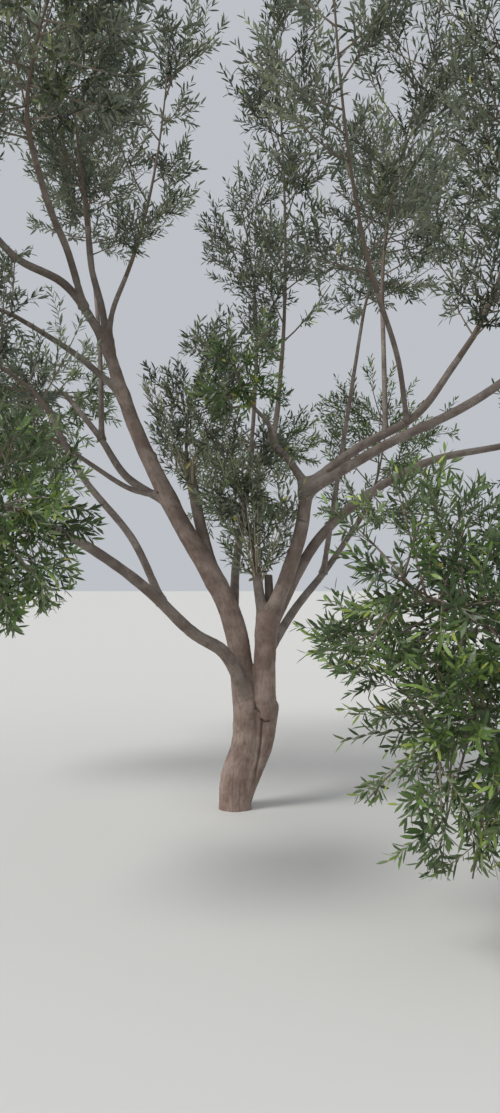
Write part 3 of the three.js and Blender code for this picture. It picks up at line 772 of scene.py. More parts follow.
# %% Flat cut
shell = bmesh.new()
shell.from_mesh(melted)
everything = shell.verts[:] + shell.edges[:] + shell.faces[:]
bmesh.ops.bisect_plane(
    shell, geom=everything, plane_co=(0, 0, 0), plane_no=(0, 0, -1), clear_outer=True)
rim = [edge for edge in shell.edges if edge.is_boundary]
bmesh.ops.holes_fill(shell, edges=rim, sides=0)
shell.to_mesh(melted)
shell.free()
melted.polygons.foreach_set("use_smooth", np.full(len(melted.polygons), True))
print("flat cut closed,", len(rim), "edges round it")

# %% [markdown]
# ## The thinner lengths
# Clear of its neighbours, a bough is a plain tapering tube with the same relief. It starts
# inside the fused wood, a little thinner, and comes out of it within a few centimetres.

# %% Thinner lengths
THIN_SIDES = 18
thin_parts, thin_values = [], []
for name, limb in limbs.items():
    if fused_to[name] < 1:
        start = fused_to[name] * limb.line.length - TRANSITION
        rings = max(6, round((limb.line.length - start) / RING_SPACING))
        shares = np.linspace(start / limb.line.length, 1, rings)
        plain, _, _ = limb_tube(limb, shares, THIN_SIDES)
        arc = limb.before + np.repeat(shares * limb.line.length, THIN_SIDES)
        angle = np.tile(np.linspace(0, 2 * math.pi, THIN_SIDES, endpoint=False), rings)
        radius = limb.radius(np.repeat(shares, THIN_SIDES))
        relief, furrows = bark_height(plain[:-2], arc, angle, radius)
        inset = TUCK * ramp(arc - limb.before, start + UNTUCKED_BY, start)
        grid = (relief - inset).reshape(rings, THIN_SIDES)
        thin_parts.append(limb_tube(limb, shares, THIN_SIDES, grid))
        ends = [[arc[end], 0, 0, 0] for end in (0, -1)]
        # the last column is the painted shade in the furrows
        columns = np.column_stack([arc, angle, radius, PAINTED_FURROW_SHADE * furrows])
        thin_values.append(np.vstack([columns, ends]))
thin = put_mesh("bough_wood", *join_grids(thin_parts))
keep_values(thin.data, *np.vstack(thin_values).T)
print("thinner lengths:", len(thin.data.vertices), "points")

# %% [markdown]
# ## Stems of the foliage
# Each outer bough goes on into a stem that bends towards the far end of its foliage. The
# stem is a quadratic curve that leaves in the bough's own direction. On a sawn bough it is a
# young shoot, thinner than the cut.

# %% Foliage stems
GOLDEN_ANGLE = math.radians(137.508)
STEM_TIP, YOUNG_STEM = 5 * MM, 13 * MM
STEM_SPRING = 0.4  # share of the way that a stem still heads as its bough does
SPINE_SAMPLES = 12


class Mass:
    """The foliage of one bough: its stem, how far leaves reach from it, and its rise."""

    def __init__(self, seed, bough, made):
        start = bough.line.at(1.0)
        end = np.array(made.foliage.end) * MM
        middle = start + bough.line.heading(1.0) * np.linalg.norm(end - start) * STEM_SPRING
        t = np.linspace(0, 1, CURVE_STEPS + 1)[:, None]
        self.seed = seed
        self.bough = bough
        self.sawn = made.sawn
        self.foliage = made.foliage
        self.stem = Line((1 - t) ** 2 * start + 2 * t * (1 - t) * middle + t**2 * end)
        self.foot_radius = YOUNG_STEM if made.sawn else bough.radii[1]
        self.reach = made.foliage.reach * MM
        self.rise = made.foliage.rise
        self.spine = self.stem.at(np.linspace(0, 1, SPINE_SAMPLES + 1))


masses = [Mass(order, limbs[name], LIMBS[name]) for order, name in enumerate(leafy)]
print(len(masses), "stems,", round(sum(mass.stem.length for mass in masses), 1), "m in all")

# %% [markdown]
# ## Room to grow
# Leaves of neighbouring boughs share the light: each mass keeps to the room that is nearer to
# its own stem than to any other. A shoot or leaf that would leave that room, or touch wood,
# isn't grown, which is the rule of the solids too. Only the fine shoots of two neighbours
# may reach a few centimetres among each other, so that the crown closes.

# %% Room to grow
LEAF_CLEARANCE, SHOOT_CLEARANCE, TIP_CLEARANCE = 12 * MM, 5 * MM, 6 * MM
INTERLOCK = 70 * MM
BOX_MARGIN = 40 * MM  # past the solids' furthest tips
LOWEST, HIGHEST = np.array(CAD_BOX[0]) - BOX_MARGIN, np.array(CAD_BOX[1]) + BOX_MARGIN
print("leaves stay between", LOWEST.round(2), "and", HIGHEST.round(2))


def in_own_room(points, owner, clearance=-INTERLOCK):
    """True where the stem of the owning mass is within reach and nearest by the clearance,
    in the box of the solids and a small margin."""
    far = np.stack([from_steps(points, mass.spine)[1].min(axis=1) for mass in masses], axis=1)
    rows = np.arange(len(points))
    own = far[rows, owner]
    far[rows, owner] = np.inf
    reach = np.array([mass.reach for mass in masses])[owner]
    inside = np.all((points > LOWEST) & (points < HIGHEST), axis=1)
    return inside & (own < reach) & (far.min(axis=1) > own + clearance)


def off_the_wood(points, clearance):
    """True where every limb's skin is farther away than the clearance."""
    clear = np.ones(len(points), bool)
    for limb in limbs.values():
        share, far = place_on(limb, points)
        clear &= far - limb.radius(share) > clearance
    return clear


# %% [markdown]
# ## Tables of curved pieces
# A twig or shoot bends along root + length (heading s + bend s^2). Each kind is a table with
# one row per piece, and all its rows are computed at once. A piece is cut back to the last
# point that is still in its own room and off the wood.

# %% Tables of curved pieces


def together(tables):
    """Tables with the same columns as one."""
    return {name: np.concatenate([table[name] for table in tables]) for name in tables[0]}


def keep(rows, which):
    """The rows of a table where `which` is true, or those with its numbers."""
    return {name: values[which] for name, values in rows.items()}


def curved_points(rows, shares):
    """root + length (share heading + share^2 bend), with the shape (rows, shares, 3)."""
    share = np.broadcast_to(np.asarray(shares), (len(rows["length"]), np.shape(shares)[-1]))
    run = rows["length"][:, None, None]
    bow = share[..., None] ** 2 * rows["bend"][:, None]
    return rows["root"][:, None] + run * (share[..., None] * rows["heading"][:, None] + bow)


def path_at(rows, share):
    """The point of each row at a share of its own, and the direction there."""
    share = share[:, None]
    run = share * rows["heading"] + share**2 * rows["bend"]
    return (rows["root"] + rows["length"][:, None] * run,
            unit(rows["heading"] + 2 * share * rows["bend"]))


def cut_back(rows, least, samples=8):
    """Shortens each row to its last sample before the first bad one, and drops the short."""
    points = curved_points(rows, np.linspace(0, 1, samples + 1)[1:]).reshape(-1, 3)
    good = in_own_room(points, np.repeat(rows["owner"], samples))
    good &= off_the_wood(points, SHOOT_CLEARANCE)
    kept = np.cumprod(good.reshape(-1, samples), axis=1).sum(axis=1) / samples
    rows["bend"] = rows["bend"] * kept[:, None]
    rows["length"] = rows["length"] * kept
    return keep(rows, rows["length"] > least)


# %% [markdown]
# ## Twigs
# Olive twigs stand round a stem by the golden angle, the turn that lets each find its own
# light. Shoots stand on the twigs in the same way, and side shoots on the shoots. Where the
# solids have one twig, the tree has two to eleven, by how dense the foliage is and how far
# it reaches. The solids' own twigs are kept whole or not at all, and the finer ones cut back.

# %% Twigs
TWIG_SPACING, TWIG_START, TWIG_FORWARD = 280 * MM, 0.06, 0.6
TWIG_LENGTH = (0.34, 0.66)
LEAST_FINER, FINER_PER_AREA = 2, 12.0
FINER_LENGTH = (0.50, 0.92)
FINER_BEND, FINER_LIFT, FINER_FORWARD = 0.3, 0.4, 0.35
LIFT, LEAST_TWIG = 0.35, 0.10
STEEP = 0.95  # a heading that rises more than this counts as upright


def branching(along, turn, sideways, forwards):
    """A direction that leans from along to the side, at a given turn round along."""
    steep = np.abs(along[..., 2:3]) >= STEEP
    level = unit(np.where(steep, np.cross(along, X_RIGHT), np.cross(along, Z_UP)))
    turn = np.asarray(turn)[..., None]
    side = level * np.cos(turn) + np.cross(along, level) * np.sin(turn)
    return unit(side * np.asarray(sideways)[..., None] + along * forwards)


def lifted(heading, rise):
    """A heading that gives way to the mass's rise or droop."""
    return unit(heading + Z_UP * (np.asarray(rise) * LIFT)[..., None])


# %% Rows of twigs
twig_rows = []
for order, mass in enumerate(masses):
    count = int(mass.stem.length / TWIG_SPACING + 0.5)
    finer = max(LEAST_FINER, round(FINER_PER_AREA * mass.foliage.dense * mass.reach**2))
    step = np.arange(count * finer)
    first = step % finer == 0
    index = np.where(first, step // finer, 100 + step)
    share = TWIG_START + (1 - TWIG_START) * step / (count * finer)
    turn = (index + 0.4 * chance(mass.seed, index, 1)) * GOLDEN_ANGLE
    rise = mass.rise * np.where(first, 1, FINER_LIFT)
    forward = np.where(first, TWIG_FORWARD, FINER_FORWARD)[:, None]
    heading = lifted(branching(mass.stem.heading(share), turn, 1, forward), rise)
    least, most = (np.where(first, *pair) for pair in zip(TWIG_LENGTH, FINER_LENGTH))
    length = mass.reach * (least + (most - least) * chance(mass.seed, index, 2))
    bend = Z_UP * (FINER_BEND * mass.rise) * (~first)[:, None]
    twig_rows.append(dict(root=mass.stem.at(share), heading=heading, length=length, bend=bend,
                          index=index, first=first, owner=np.full(len(step), order)))
twigs = together(twig_rows)
coarse, finer = keep(twigs, twigs["first"]), keep(twigs, ~twigs["first"])
outer = curved_points(coarse, (1 / 3, 2 / 3, 1)).reshape(-1, 3)
good = in_own_room(outer, np.repeat(coarse["owner"], 3), LEAF_CLEARANCE)
good &= off_the_wood(outer, LEAF_CLEARANCE)
twigs = together([keep(coarse, good.reshape(-1, 3).all(axis=1)), cut_back(finer, LEAST_TWIG)])
print(len(twigs["root"]), "twigs")

# %% [markdown]
# ## Shoots
# A shoot leaves its twig at about 45 degrees and the last one goes on from the tip. It then
# curves: its path is root + length (heading s + bend s^2). Upright masses bend up to the
# light, low ones hang. It is cut back to the last stretch that is still in its own room.

# %% Shoots
SHOOT_START, SHOOT_PLACES, SHOOT_SPLAY, LAST_SPLAY = 0.35, 7, 0.95, 0.1
SHOOT_LENGTH, LEAST_VIGOUR, FINER_SIZE = 0.68, 0.62, 0.9
SHOOT_CLIMB, CLIMB_BY_RISE, SHOOT_SWAY, LEAST_SHOOT = 0.05, 0.14, 0.10, 0.07
MASS_SEED = np.array([mass.seed for mass in masses])
MASS_REACH = np.array([mass.reach for mass in masses])
MASS_RISE = np.array([mass.rise for mass in masses])


def places_from(start, count):
    """Whole and half places along a twig, and their shares from start to the tip. The last
    stands a little before the tip."""
    place = np.arange(count) / 2
    share = start + (1 - start) * place / place[-1]
    return place, share, share - (share == 1) * 0.02


def shoot_rows(root, along, place, index, owner, size, lift):
    """Rows of shoots from the points where they stand and the twig's direction there. `key`
    is the number that chance is asked with for each shoot's own leaves."""
    seed = MASS_SEED[owner]
    splay = np.where(place == place.max(), LAST_SPLAY, SHOOT_SPLAY)
    place = np.where(place % 1 == 0, place, 20 + place * 2)
    turn = (place + 0.5 * chance(seed, index, place + 3)) * GOLDEN_ANGLE
    heading = lifted(branching(along, turn, splay, 1.0), MASS_RISE[owner] * lift)
    sway = branching(heading, 2 * math.pi * chance(seed, index, place + 30), 1, 0)
    vary = chance(seed, index, place + 60)
    vigour = LEAST_VIGOUR + (1 - LEAST_VIGOUR) * vary
    length = MASS_REACH[owner] * SHOOT_LENGTH * size * vigour
    bend = Z_UP * (SHOOT_CLIMB + CLIMB_BY_RISE * MASS_RISE[owner])[:, None] + sway * SHOOT_SWAY
    key = index * 17.0 + place * 3 + owner * 1013
    return dict(root=root, heading=heading, length=length, bend=bend, owner=owner, key=key,
                tint=chance(seed, index, place + 90))


# %% Shoots on twigs and on stems
place, shares, stands = places_from(SHOOT_START, SHOOT_PLACES)
along = unit(twigs["heading"][:, None] + 2 * shares[:, None] * twigs["bend"][:, None])
bearer = keep(twigs, np.repeat(np.arange(len(twigs["root"])), SHOOT_PLACES))
place = np.tile(place, len(twigs["root"]))
shoots = shoot_rows(
    curved_points(twigs, stands).reshape(-1, 3), along.reshape(-1, 3), place, bearer["index"],
    bearer["owner"], np.where(bearer["first"], 1.0, FINER_SIZE),
    np.where(bearer["first"], 1.0, FINER_LIFT))
shoots = keep(shoots, bearer["first"] | (place % 1 == 0))
END_INDEX, END_START, END_PLACES = 280, 0.85, 5
place, shares, stands = places_from(END_START, END_PLACES)
owner = np.repeat(np.arange(len(masses)), END_PLACES)
end_shoots = shoot_rows(
    np.vstack([mass.stem.at(stands) for mass in masses]),
    np.vstack([mass.stem.heading(shares) for mass in masses]),
    np.tile(place, len(masses)), np.full(len(owner), END_INDEX), owner, 1.0, 1.0)
shoots = cut_back(together([shoots, end_shoots]), LEAST_SHOOT)
print(len(shoots["root"]), "shoots,", round(shoots["length"].sum()), "m in all")

# %% [markdown]
# ## Water shoots
# Where a thick limb was sawn off, the tree answers with thin straight shoots round the cut.
# Two of three race upwards, bare for the first half of their length, and show as pale lines.
# The others stay short, lean outwards and hide the cut in leaves.

# %% Water shoots
WATER_SHOOTS, LEAST_WATER_SHOOT = 24, 0.12
WATER_LENGTHS = ((0.20, 0.38), (0.60, 1.05))  # metres, the short ones and the long ones
WATER_BARE = 0.5
WATER_UP, WATER_ALONG = 0.7, 0.3
WATER_SPREAD, WATER_SCATTER, WATER_TINT = (1.1, 0.1), 0.65, 0.75
WATER_ZONE, WATER_SUNK = 0.25, 4 * MM  # the share of the bough where they stand
water_rows = []
for order, mass in enumerate(masses):
    if mass.sawn:
        number = np.arange(WATER_SHOOTS)
        up = Z_UP * WATER_UP + mass.stem.heading(0.0) * WATER_ALONG
        up = np.broadcast_to(up, (WATER_SHOOTS, 3))
        side = branching(unit(up), number * GOLDEN_ANGLE, 1, 0)
        short = number % 3 == 0
        spread = np.where(short, *WATER_SPREAD) + WATER_SCATTER * chance(order, number, 2)
        below = mass.bough.line.at(1 - WATER_ZONE * chance(order, number, 3))
        least, most = (np.where(short, *pair) for pair in zip(*WATER_LENGTHS))
        length = least + (most - least) * chance(order, number, 4)
        water_rows.append(dict(
            root=below + side * (mass.bough.radii[1] - WATER_SUNK),
            heading=unit(up + side * spread[:, None]),
            length=length,
            bend=Z_UP * 0.08 + side * (0.20 * chance(order, number, 5) - 0.12)[:, None],
            owner=np.full(WATER_SHOOTS, order),
            key=order * 557.0 + number * 11,
            tint=WATER_TINT + 0.24 * chance(order, number, 6),
        ))
water_shoots = cut_back(together(water_rows), LEAST_WATER_SHOOT)
long_shoots = water_shoots["length"] > WATER_LENGTHS[0][1]
print(len(water_shoots["root"]), "water shoots")

# %% [markdown]
# ## Side shoots
# Two short side shoots fill the space along each shoot, shorter towards its tip, as
# the youngest had the least time to grow.

# %% Side shoots
SIDE_PLACES = np.array([0.3, 0.62])
SIDE_LENGTH, SIDE_SPLAY, SIDE_CLIMB, LEAST_SIDE_SHOOT = 0.19, 0.9, 0.10, 0.045
bearers = together([shoots, water_shoots])
parent = keep(bearers, np.repeat(np.arange(len(bearers["root"])), len(SIDE_PLACES)))
number = np.arange(len(parent["root"])) % len(SIDE_PLACES)
share = SIDE_PLACES[number]
root, along = path_at(parent, share)
turn = (number + chance(parent["key"], number, 5)) * GOLDEN_ANGLE
side_shoots = dict(
    root=root,
    heading=branching(along, turn, SIDE_SPLAY, 1.0),
    length=SIDE_LENGTH * (1.15 - share) * (0.6 + 0.5 * chance(parent["key"], number, 6)),
    bend=Z_UP * (SIDE_CLIMB + SIDE_CLIMB * MASS_RISE[parent["owner"]])[:, None],
    owner=parent["owner"],
    key=parent["key"] + 400 + number,
    tint=parent["tint"],
)
side_shoots = cut_back(side_shoots, LEAST_SIDE_SHOOT)
print(len(side_shoots["root"]), "side shoots")

# %% [markdown]
# ## Thin wood as meshes
# All stems, twigs and shoots are tubes with few sides, closed at both ends. One call makes a
# whole table of them: rings from points and radii, then index sums as before. A few plain
# bark colours are dealt out tube by tube, because a pattern would be lost on wood this thin.

# %% Thin wood
STEEP_TUBE = 0.75


def many_tubes(points, radii, sides):
    """Rings middle + radius (cos side + sin third) for every tube at once, and a point at
    each end. points has the shape (tubes, rings, 3)."""
    tubes, rings, _ = points.shape
    along = unit(np.gradient(points, axis=1))
    steep = np.abs(along[:, :1, 2:3]) > STEEP_TUBE
    side = unit(np.where(steep, np.cross(along, X_RIGHT), np.cross(along, Z_UP)))
    third = np.cross(along, side)
    angle = np.linspace(0, 2 * math.pi, sides, endpoint=False)[:, None]
    outward = side[:, :, None] * np.cos(angle) + third[:, :, None] * np.sin(angle)
    skin = points[:, :, None] + outward * radii[:, :, None, None]
    each = np.concatenate([skin.reshape(tubes, -1, 3), points[:, [0, -1]]], axis=1)
    quads, triangles = tube_faces(rings, sides)
    starts = (np.arange(tubes) * each.shape[1])[:, None, None]
    faces = [(faces + starts).reshape(-1, faces.shape[1]) for faces in (quads, triangles)]
    return each.reshape(-1, 3), *faces, (len(quads), len(triangles))


def tubes_of(rows, radii, sides):
    """The tubes of a table, with their radii in millimetres from root to tip."""
    points = curved_points(rows, np.linspace(0, 1, len(radii)))
    return many_tubes(points, np.broadcast_to(np.array(radii) * MM, points.shape[:2]), sides)


# %% Tubes of every kind
SUNK = 30 * MM  # how deep a stem's foot is in its bough
stem_shares = np.linspace(0, 1, 14)
stem_points = np.stack([mass.stem.at(stem_shares) for mass in masses])
stem_points[:, 0] -= SUNK * np.stack([mass.stem.heading(0.0) for mass in masses])
stem_radii = np.stack([
    STEM_TIP + (mass.foot_radius - STEM_TIP) * (1 - stem_shares) ** 1.6 for mass in masses
])
wood_kinds = {  # radii from root to tip in millimetres, and sides
    "stems": many_tubes(stem_points, stem_radii, 9),
    "twigs": tubes_of(twigs, np.linspace(6.5, 3.6, 5), 5),
    "shoots": tubes_of(shoots, (3.0, 2.4, 1.8, 0.9), 3),
    "water_shoots": tubes_of(water_shoots, np.linspace(4.5, 1.5, 7), 5),
    "side_shoots": tubes_of(side_shoots, (1.7, 0.8), 3),
}
for name, (points, quads, triangles, _) in wood_kinds.items():
    print(name, len(quads) * 2 + len(triangles), "triangles")

# %% [markdown]
# ## Places of the leaves
# Olive leaves stand in opposite pairs, each pair a quarter turn from the last. They leave the
# shoot at about 60 degrees, less near its tip, and turn their dark face up. Each leaf gets a
# base point, a direction, and the direction that its face looks.

# %% Leaf places
FIRST_PAIR, PAIR_SPACING = 22 * MM, 30 * MM
LEAF_LENGTH, LEAF_WIDTH = 76 * MM, 16.5 * MM
LEAF_ANGLE, LESS_AT_TIP, ANGLE_SPREAD = 58, 26, 22
FACE_UP, FACE_SPREAD = 0.45, 0.35
LEAST_LEAF, LEAF_VARIES, LESS_AWAY, LARGEST_AT = 0.74, 0.42, 0.25, 0.45
TURN = 6.28


def leaf_rows(rows, bare=0.0):
    """Two leaves per pair and a pair per spacing along each shoot, past its bare share. A
    leaf's size is its least + chance, less the further it is from the shoot's middle."""
    pairs = np.maximum(((rows["length"] - FIRST_PAIR) / PAIR_SPACING).astype(int) + 1, 1)
    shoot = np.repeat(np.arange(len(pairs)), pairs)
    number = np.arange(len(shoot)) - np.repeat(np.cumsum(pairs) - pairs, pairs)
    shoot, number = np.repeat(shoot, 2), np.repeat(number, 2)
    hand = np.arange(len(shoot)) % 2
    bearer = keep(rows, shoot)
    key = bearer["key"]
    share = np.minimum((FIRST_PAIR + number * PAIR_SPACING) / bearer["length"], 1)
    base, along = path_at(bearer, share)
    turn = number * math.pi / 2 + hand * math.pi + TURN * chance(key, 1, 1)
    turn = turn + 0.5 * (chance(key, number, hand + 2) - 0.5)
    side = branching(along, turn, 1, 0)
    lean = LEAF_ANGLE - LESS_AT_TIP * share + ANGLE_SPREAD * (chance(key, number, hand + 7) - 0.5)
    lean = np.radians(lean)[:, None]
    direction = unit(along * np.cos(lean) + side * np.sin(lean))
    face = along * np.sin(lean) - side * np.cos(lean) + Z_UP * FACE_UP
    face = face + branching(direction, TURN * chance(key, number, hand + 12), 1, 0) * FACE_SPREAD
    face = unit(face - direction * np.sum(face * direction, axis=1, keepdims=True))
    size = LEAST_LEAF + LEAF_VARIES * chance(key, number, hand + 20)
    size = size - LESS_AWAY * np.abs(share - LARGEST_AT)
    table = dict(base=base, direction=direction, face=face, size=size, share=share,
                 owner=bearer["owner"], tint=bearer["tint"],
                 chance=chance(key, number, hand + 31))
    return keep(table, share >= np.broadcast_to(bare, len(pairs))[shoot])


leaves = together([
    leaf_rows(shoots), leaf_rows(water_shoots, WATER_BARE * long_shoots), leaf_rows(side_shoots),
])
tips = leaves["base"] + leaves["direction"] * (leaves["size"] * LEAF_LENGTH)[:, None]
good = in_own_room(tips, leaves["owner"]) & off_the_wood(tips, TIP_CLEARANCE)
leaves = keep(leaves, good)
print(len(leaves["base"]), "leaves of", len(good))

# %% [markdown]
# ## One leaf
# An olive leaf is a narrow lance, a little arched, with a keel under its middle. Six points
# and eight triangles give that: base, tip, and two pairs of edge points that stand above the
# line from base to tip. The four upper triangles are the dark face. The four lower ones meet
# on the line from base to tip and are the silvery side.

# %% Leaf meshes
LEAF_POINTS = np.array([
    [0, 0, 0], [0.47, 0.33, 0.030], [0.43, 0.70, 0.026],
    [0, 1, -0.02], [-0.43, 0.70, 0.026], [-0.47, 0.33, 0.030],
])
LEAF_FACES = np.array([
    [0, 1, 5], [5, 1, 2], [5, 2, 4], [4, 2, 3],
    [0, 5, 4], [0, 4, 3], [0, 3, 2], [0, 2, 1],
])


def leaf_points(rows):
    """base + size (x width across + y length along + z length face) for the six points."""
    across = np.cross(rows["direction"], rows["face"])
    size = rows["size"][:, None, None]
    x, y, z = LEAF_POINTS.T[:, None, :, None]
    offset = x * LEAF_WIDTH * across[:, None] + y * LEAF_LENGTH * rows["direction"][:, None]
    offset = offset + z * LEAF_LENGTH * rows["face"][:, None]
    return (rows["base"][:, None] + size * offset).reshape(-1, 3)


def leaf_faces(count):
    """The eight triangles of every leaf, with indices moved up by six for each."""
    return (LEAF_FACES + 6 * np.arange(count)[:, None, None]).reshape(-1, 3)


# %% [markdown]
# ## Shader maths
# A `Wire` is one output of a node. Its operators add Math nodes, so a formula for a finish
# reads like a formula. `Paint.node` makes any other node: its settings first, then what goes
# into its sockets.

# %% Shader maths


def tone(red, green, blue):
    """A colour of 0 to 255, as a screen shows it, in the linear values of a shader."""
    share = np.array([red, green, blue]) / 255
    linear = np.where(share <= 0.04045, share / 12.92, ((share + 0.055) / 1.055) ** 2.4)
    return (*linear.tolist(), 1.0)


def operator(operation, flipped=False):
    """A method of `Wire` that adds one Math node."""

    def apply(self, other):
        first, second = (other, self) if flipped else (self, other)
        return self.paint.node("Math", {"operation": operation}, {0: first, 1: second})

    return apply


class Wire:
    """One output socket, with operators that add Math nodes."""

    __add__ = __radd__ = operator("ADD")
    __mul__ = __rmul__ = operator("MULTIPLY")
    __sub__, __rsub__ = operator("SUBTRACT"), operator("SUBTRACT", flipped=True)

    def __init__(self, paint, socket):
        self.paint = paint
        self.socket = socket

    def between(self, low, high):
        """0 below low, 1 above high, and smooth between them."""
        settings = {"interpolation_type": "SMOOTHSTEP"}
        return self.paint.node("MapRange", settings, {0: self, 1: low, 2: high})


# %% A material made node by node


class Paint:
    """A material that is made node by node."""

    def __init__(self, name, **sockets):
        self.material = bpy.data.materials.new(name)
        self.material.use_nodes = True
        self.tree = self.material.node_tree
        self.shader = self.tree.nodes["Principled BSDF"]
        self.set(**sockets)

    def feed(self, socket, value):
        """A link from a wire, or a plain value."""
        if isinstance(value, Wire):
            self.tree.links.new(value.socket, socket)
        else:
            socket.default_value = value

    def set(self, **sockets):
        """Feeds the shader's own sockets, with _ for the blanks in their names."""
        for name, value in sockets.items():
            self.feed(self.shader.inputs[name.replace("_", " ")], value)

    def node(self, kind, settings, sockets, out=0):
        """Any other node: its settings first, then its sockets."""
        made = self.tree.nodes.new("ShaderNode" + kind)
        for name, value in settings.items():
            setattr(made, name, value)
        for name, value in sockets.items():
            self.feed(made.inputs[name], value)
        return Wire(self, made.outputs[out])

    def blend(self, share, first, second):
        """From the first colour to the second by share."""
        sockets = {0: share, 6: first, 7: second}
        return self.node("Mix", {"data_type": "RGBA"}, sockets, out=2)

    def noise(self, place, scale, detail=4.0, roughness=0.55):
        """A cloud from 0 to 1 with so many lumps in a metre."""
        sockets = {"Vector": place, "Scale": scale, "Detail": detail, "Roughness": roughness}
        return self.node("TexNoise", {}, sockets)

    def kept(self, name, out):
        """A value that the mesh keeps at its points: output 1 is a vector and 2 a number."""
        return self.node("Attribute", {"attribute_name": name}, {}, out)


# %% [markdown]
# ## The finish of the bark
# The trunk is a warm grey-brown. Upwards the bark gets greyer and darker. Furrows, cracks and
# hollows are darkened as painted shade, ridges are paler, and pale grey lichen sits in spots.
# Noise is stretched along the grain, which follows every limb, and a bump adds the finest cracks.

# %% Bark finish
bark = Paint("olive_bark", Metallic=0.0)
grain = bark.kept("grain", 1)
hollow = bark.kept("hollow", 2)
age = bark.kept("age", 2)
along_grain = bark.node("Mapping", {}, {"Vector": grain, "Scale": (1.0, 1.0, 0.3)})
across_grain = bark.node("Mapping", {}, {"Vector": grain, "Scale": (0.25, 0.25, 1.0)})
place = bark.node("TexCoord", {}, {}, "Object")
patches = bark.noise(place, 7.0)
streaks = bark.noise(along_grain, 60.0, 6.0, 0.65)
cracks = bark.noise(along_grain, 150.0, 4.0, 0.6)
wrinkles = bark.noise(across_grain, 130.0)
specks = bark.noise(place, 48.0, 3.0, 0.5)
height = bark.node("SeparateXYZ", {}, {"Vector": place}, "Z")
patch = patches.between(0.35, 0.65)
old_tone = bark.blend(patch, tone(126, 107, 97), tone(157, 139, 128))
young_tone = bark.blend(patch, tone(112, 101, 94), tone(138, 128, 120))
ground_tone = bark.blend(age.between(0.2, 0.8), young_tone, old_tone)
colour = bark.blend(height.between(0.40, 0.0) * 0.4, ground_tone, tone(146, 122, 111))
colour = bark.blend(streaks.between(0.45, 0.72) * 0.55, colour, tone(84, 69, 61))
colour = bark.blend(wrinkles.between(0.55, 0.75) * 0.30, colour, tone(176, 158, 148))
# Painted shade: the furrows and marks that `hollow` holds are darkened to a dark brown
colour = bark.blend(hollow.between(0.12, 0.9) * 0.85, colour, tone(62, 50, 44))
lichen = specks.between(0.62, 0.70) * patches.between(0.50, 0.62)
rough = streaks * 0.4 + cracks * 0.3 + wrinkles * 0.3
bark.set(
    Base_Color=bark.blend(lichen * 0.35, colour, tone(172, 168, 158)),
    Roughness=0.84 + 0.1 * cracks,
    Normal=bark.node("Bump", {}, {"Strength": 0.6, "Distance": 0.004, "Height": rough}),
)
bark.shader.inputs["Specular IOR Level"].default_value = 0.25

for piece in (fused, thin):
    piece.data.materials.clear()
    piece.data.materials.append(bark.material)
print(len(bark.tree.nodes), "nodes in the finish of the bark")

# %% [markdown]
# ## Finishes that are dealt out
# Twigs are grey-brown, and the youngest shoots are pale. Leaves are dark on top, lighter and
# yellower when young, and silvery below. A waxy skin gives the top a soft gloss, and fine
# hairs make the underside dull. In the shade of the crown, leaves are of a deeper green. Each
# tint is a plain colour, because a leaf is too small to show more.

# %% Twig and leaf finishes
TWIG_TONES = [(112, 100, 89), (124, 114, 102), (136, 128, 110), (140, 142, 114), (184, 174, 148)]
IN_THE_SUN, UNDER_IN_THE_SUN = 5, 3  # as many tones again are for leaves in the shade
TOP_TONES = [  # the last is that of a leaf turned yellow
    (45, 54, 38), (57, 67, 46), (75, 86, 58), (100, 111, 74), (136, 145, 98),
    (47, 66, 30), (63, 86, 37), (85, 109, 48), (113, 136, 60), (147, 161, 72),
    (156, 150, 66),
]
UNDER_TONES = [
    (98, 107, 91), (118, 127, 109), (140, 148, 127), (86, 102, 68), (106, 122, 86), (128, 142, 104),
]


def plain_paint(name, colour, roughness, gloss):
    """A constant colour with its own roughness and strength of gloss."""
    paint = Paint(name, Base_Color=tone(*colour), Roughness=roughness)
    paint.shader.inputs["Specular IOR Level"].default_value = gloss
    return paint.material


twig_paints = [plain_paint(f"twig_bark_{n}", rgb, 0.8, 0.3) for n, rgb in enumerate(TWIG_TONES)]
leaf_paints = [plain_paint(f"leaf_top_{n}", rgb, 0.42, 0.5) for n, rgb in enumerate(TOP_TONES)]
leaf_paints += [plain_paint(f"leaf_under_{n}", rgb, 0.7, 0.3) for n, rgb in enumerate(UNDER_TONES)]
print(len(twig_paints), "paints for twigs and", len(leaf_paints), "for leaves")

# %% [markdown]
# ## Building the thin wood
# The wood of the foliage is two pieces: stems, twigs and water shoots, and the thin shoots
# with their side shoots. Stems and twigs are the darkest, and water shoots the palest.

# %% Build the thin wood


def deal(piece, numbers, paints):
    """Gives a piece its paints and each face the number of its own."""
    for paint in paints:
        piece.data.materials.append(paint)
    piece.data.polygons.foreach_set("material_index", numbers.astype(np.int32))


wood_tints = {  # the number of each tube's tone
    "stems": np.zeros(len(masses), int),
    "twigs": (chance(twigs["index"], twigs["owner"], 40) * 2).astype(int),
    "water_shoots": np.full(len(water_shoots["root"]), 4),
    "shoots": 1 + (shoots["tint"] * 3).astype(int),
    "side_shoots": 2 + (side_shoots["tint"] * 2).astype(int),
}
leaf_nodes = ["foliage_" + name for name in leafy]
wood_pieces = []
for name, kinds in (
    ("stems_and_twigs", ("stems", "twigs", "water_shoots")),
    ("shoot_wood", ("shoots", "side_shoots")),
):
    piece = put_mesh(name, *join_grids([wood_kinds[kind][:3] for kind in kinds]))
    numbers = [
        np.repeat(wood_tints[kind], wood_kinds[kind][3][shape])
        for shape in (0, 1)  # the quads of all kinds come first, then the triangles
        for kind in kinds
    ]
    deal(piece, np.concatenate(numbers), twig_paints)
    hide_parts(*leaf_nodes)
    wood_pieces.append(piece)
    print(name, len(piece.data.polygons), "faces")

# %% [markdown]
# ## Building the leaves
# The leaves of five boughs make one piece each time. A leaf's tint comes from the shoot,
# from its place on it and from chance: tips are young and pale, old leaves are dark.

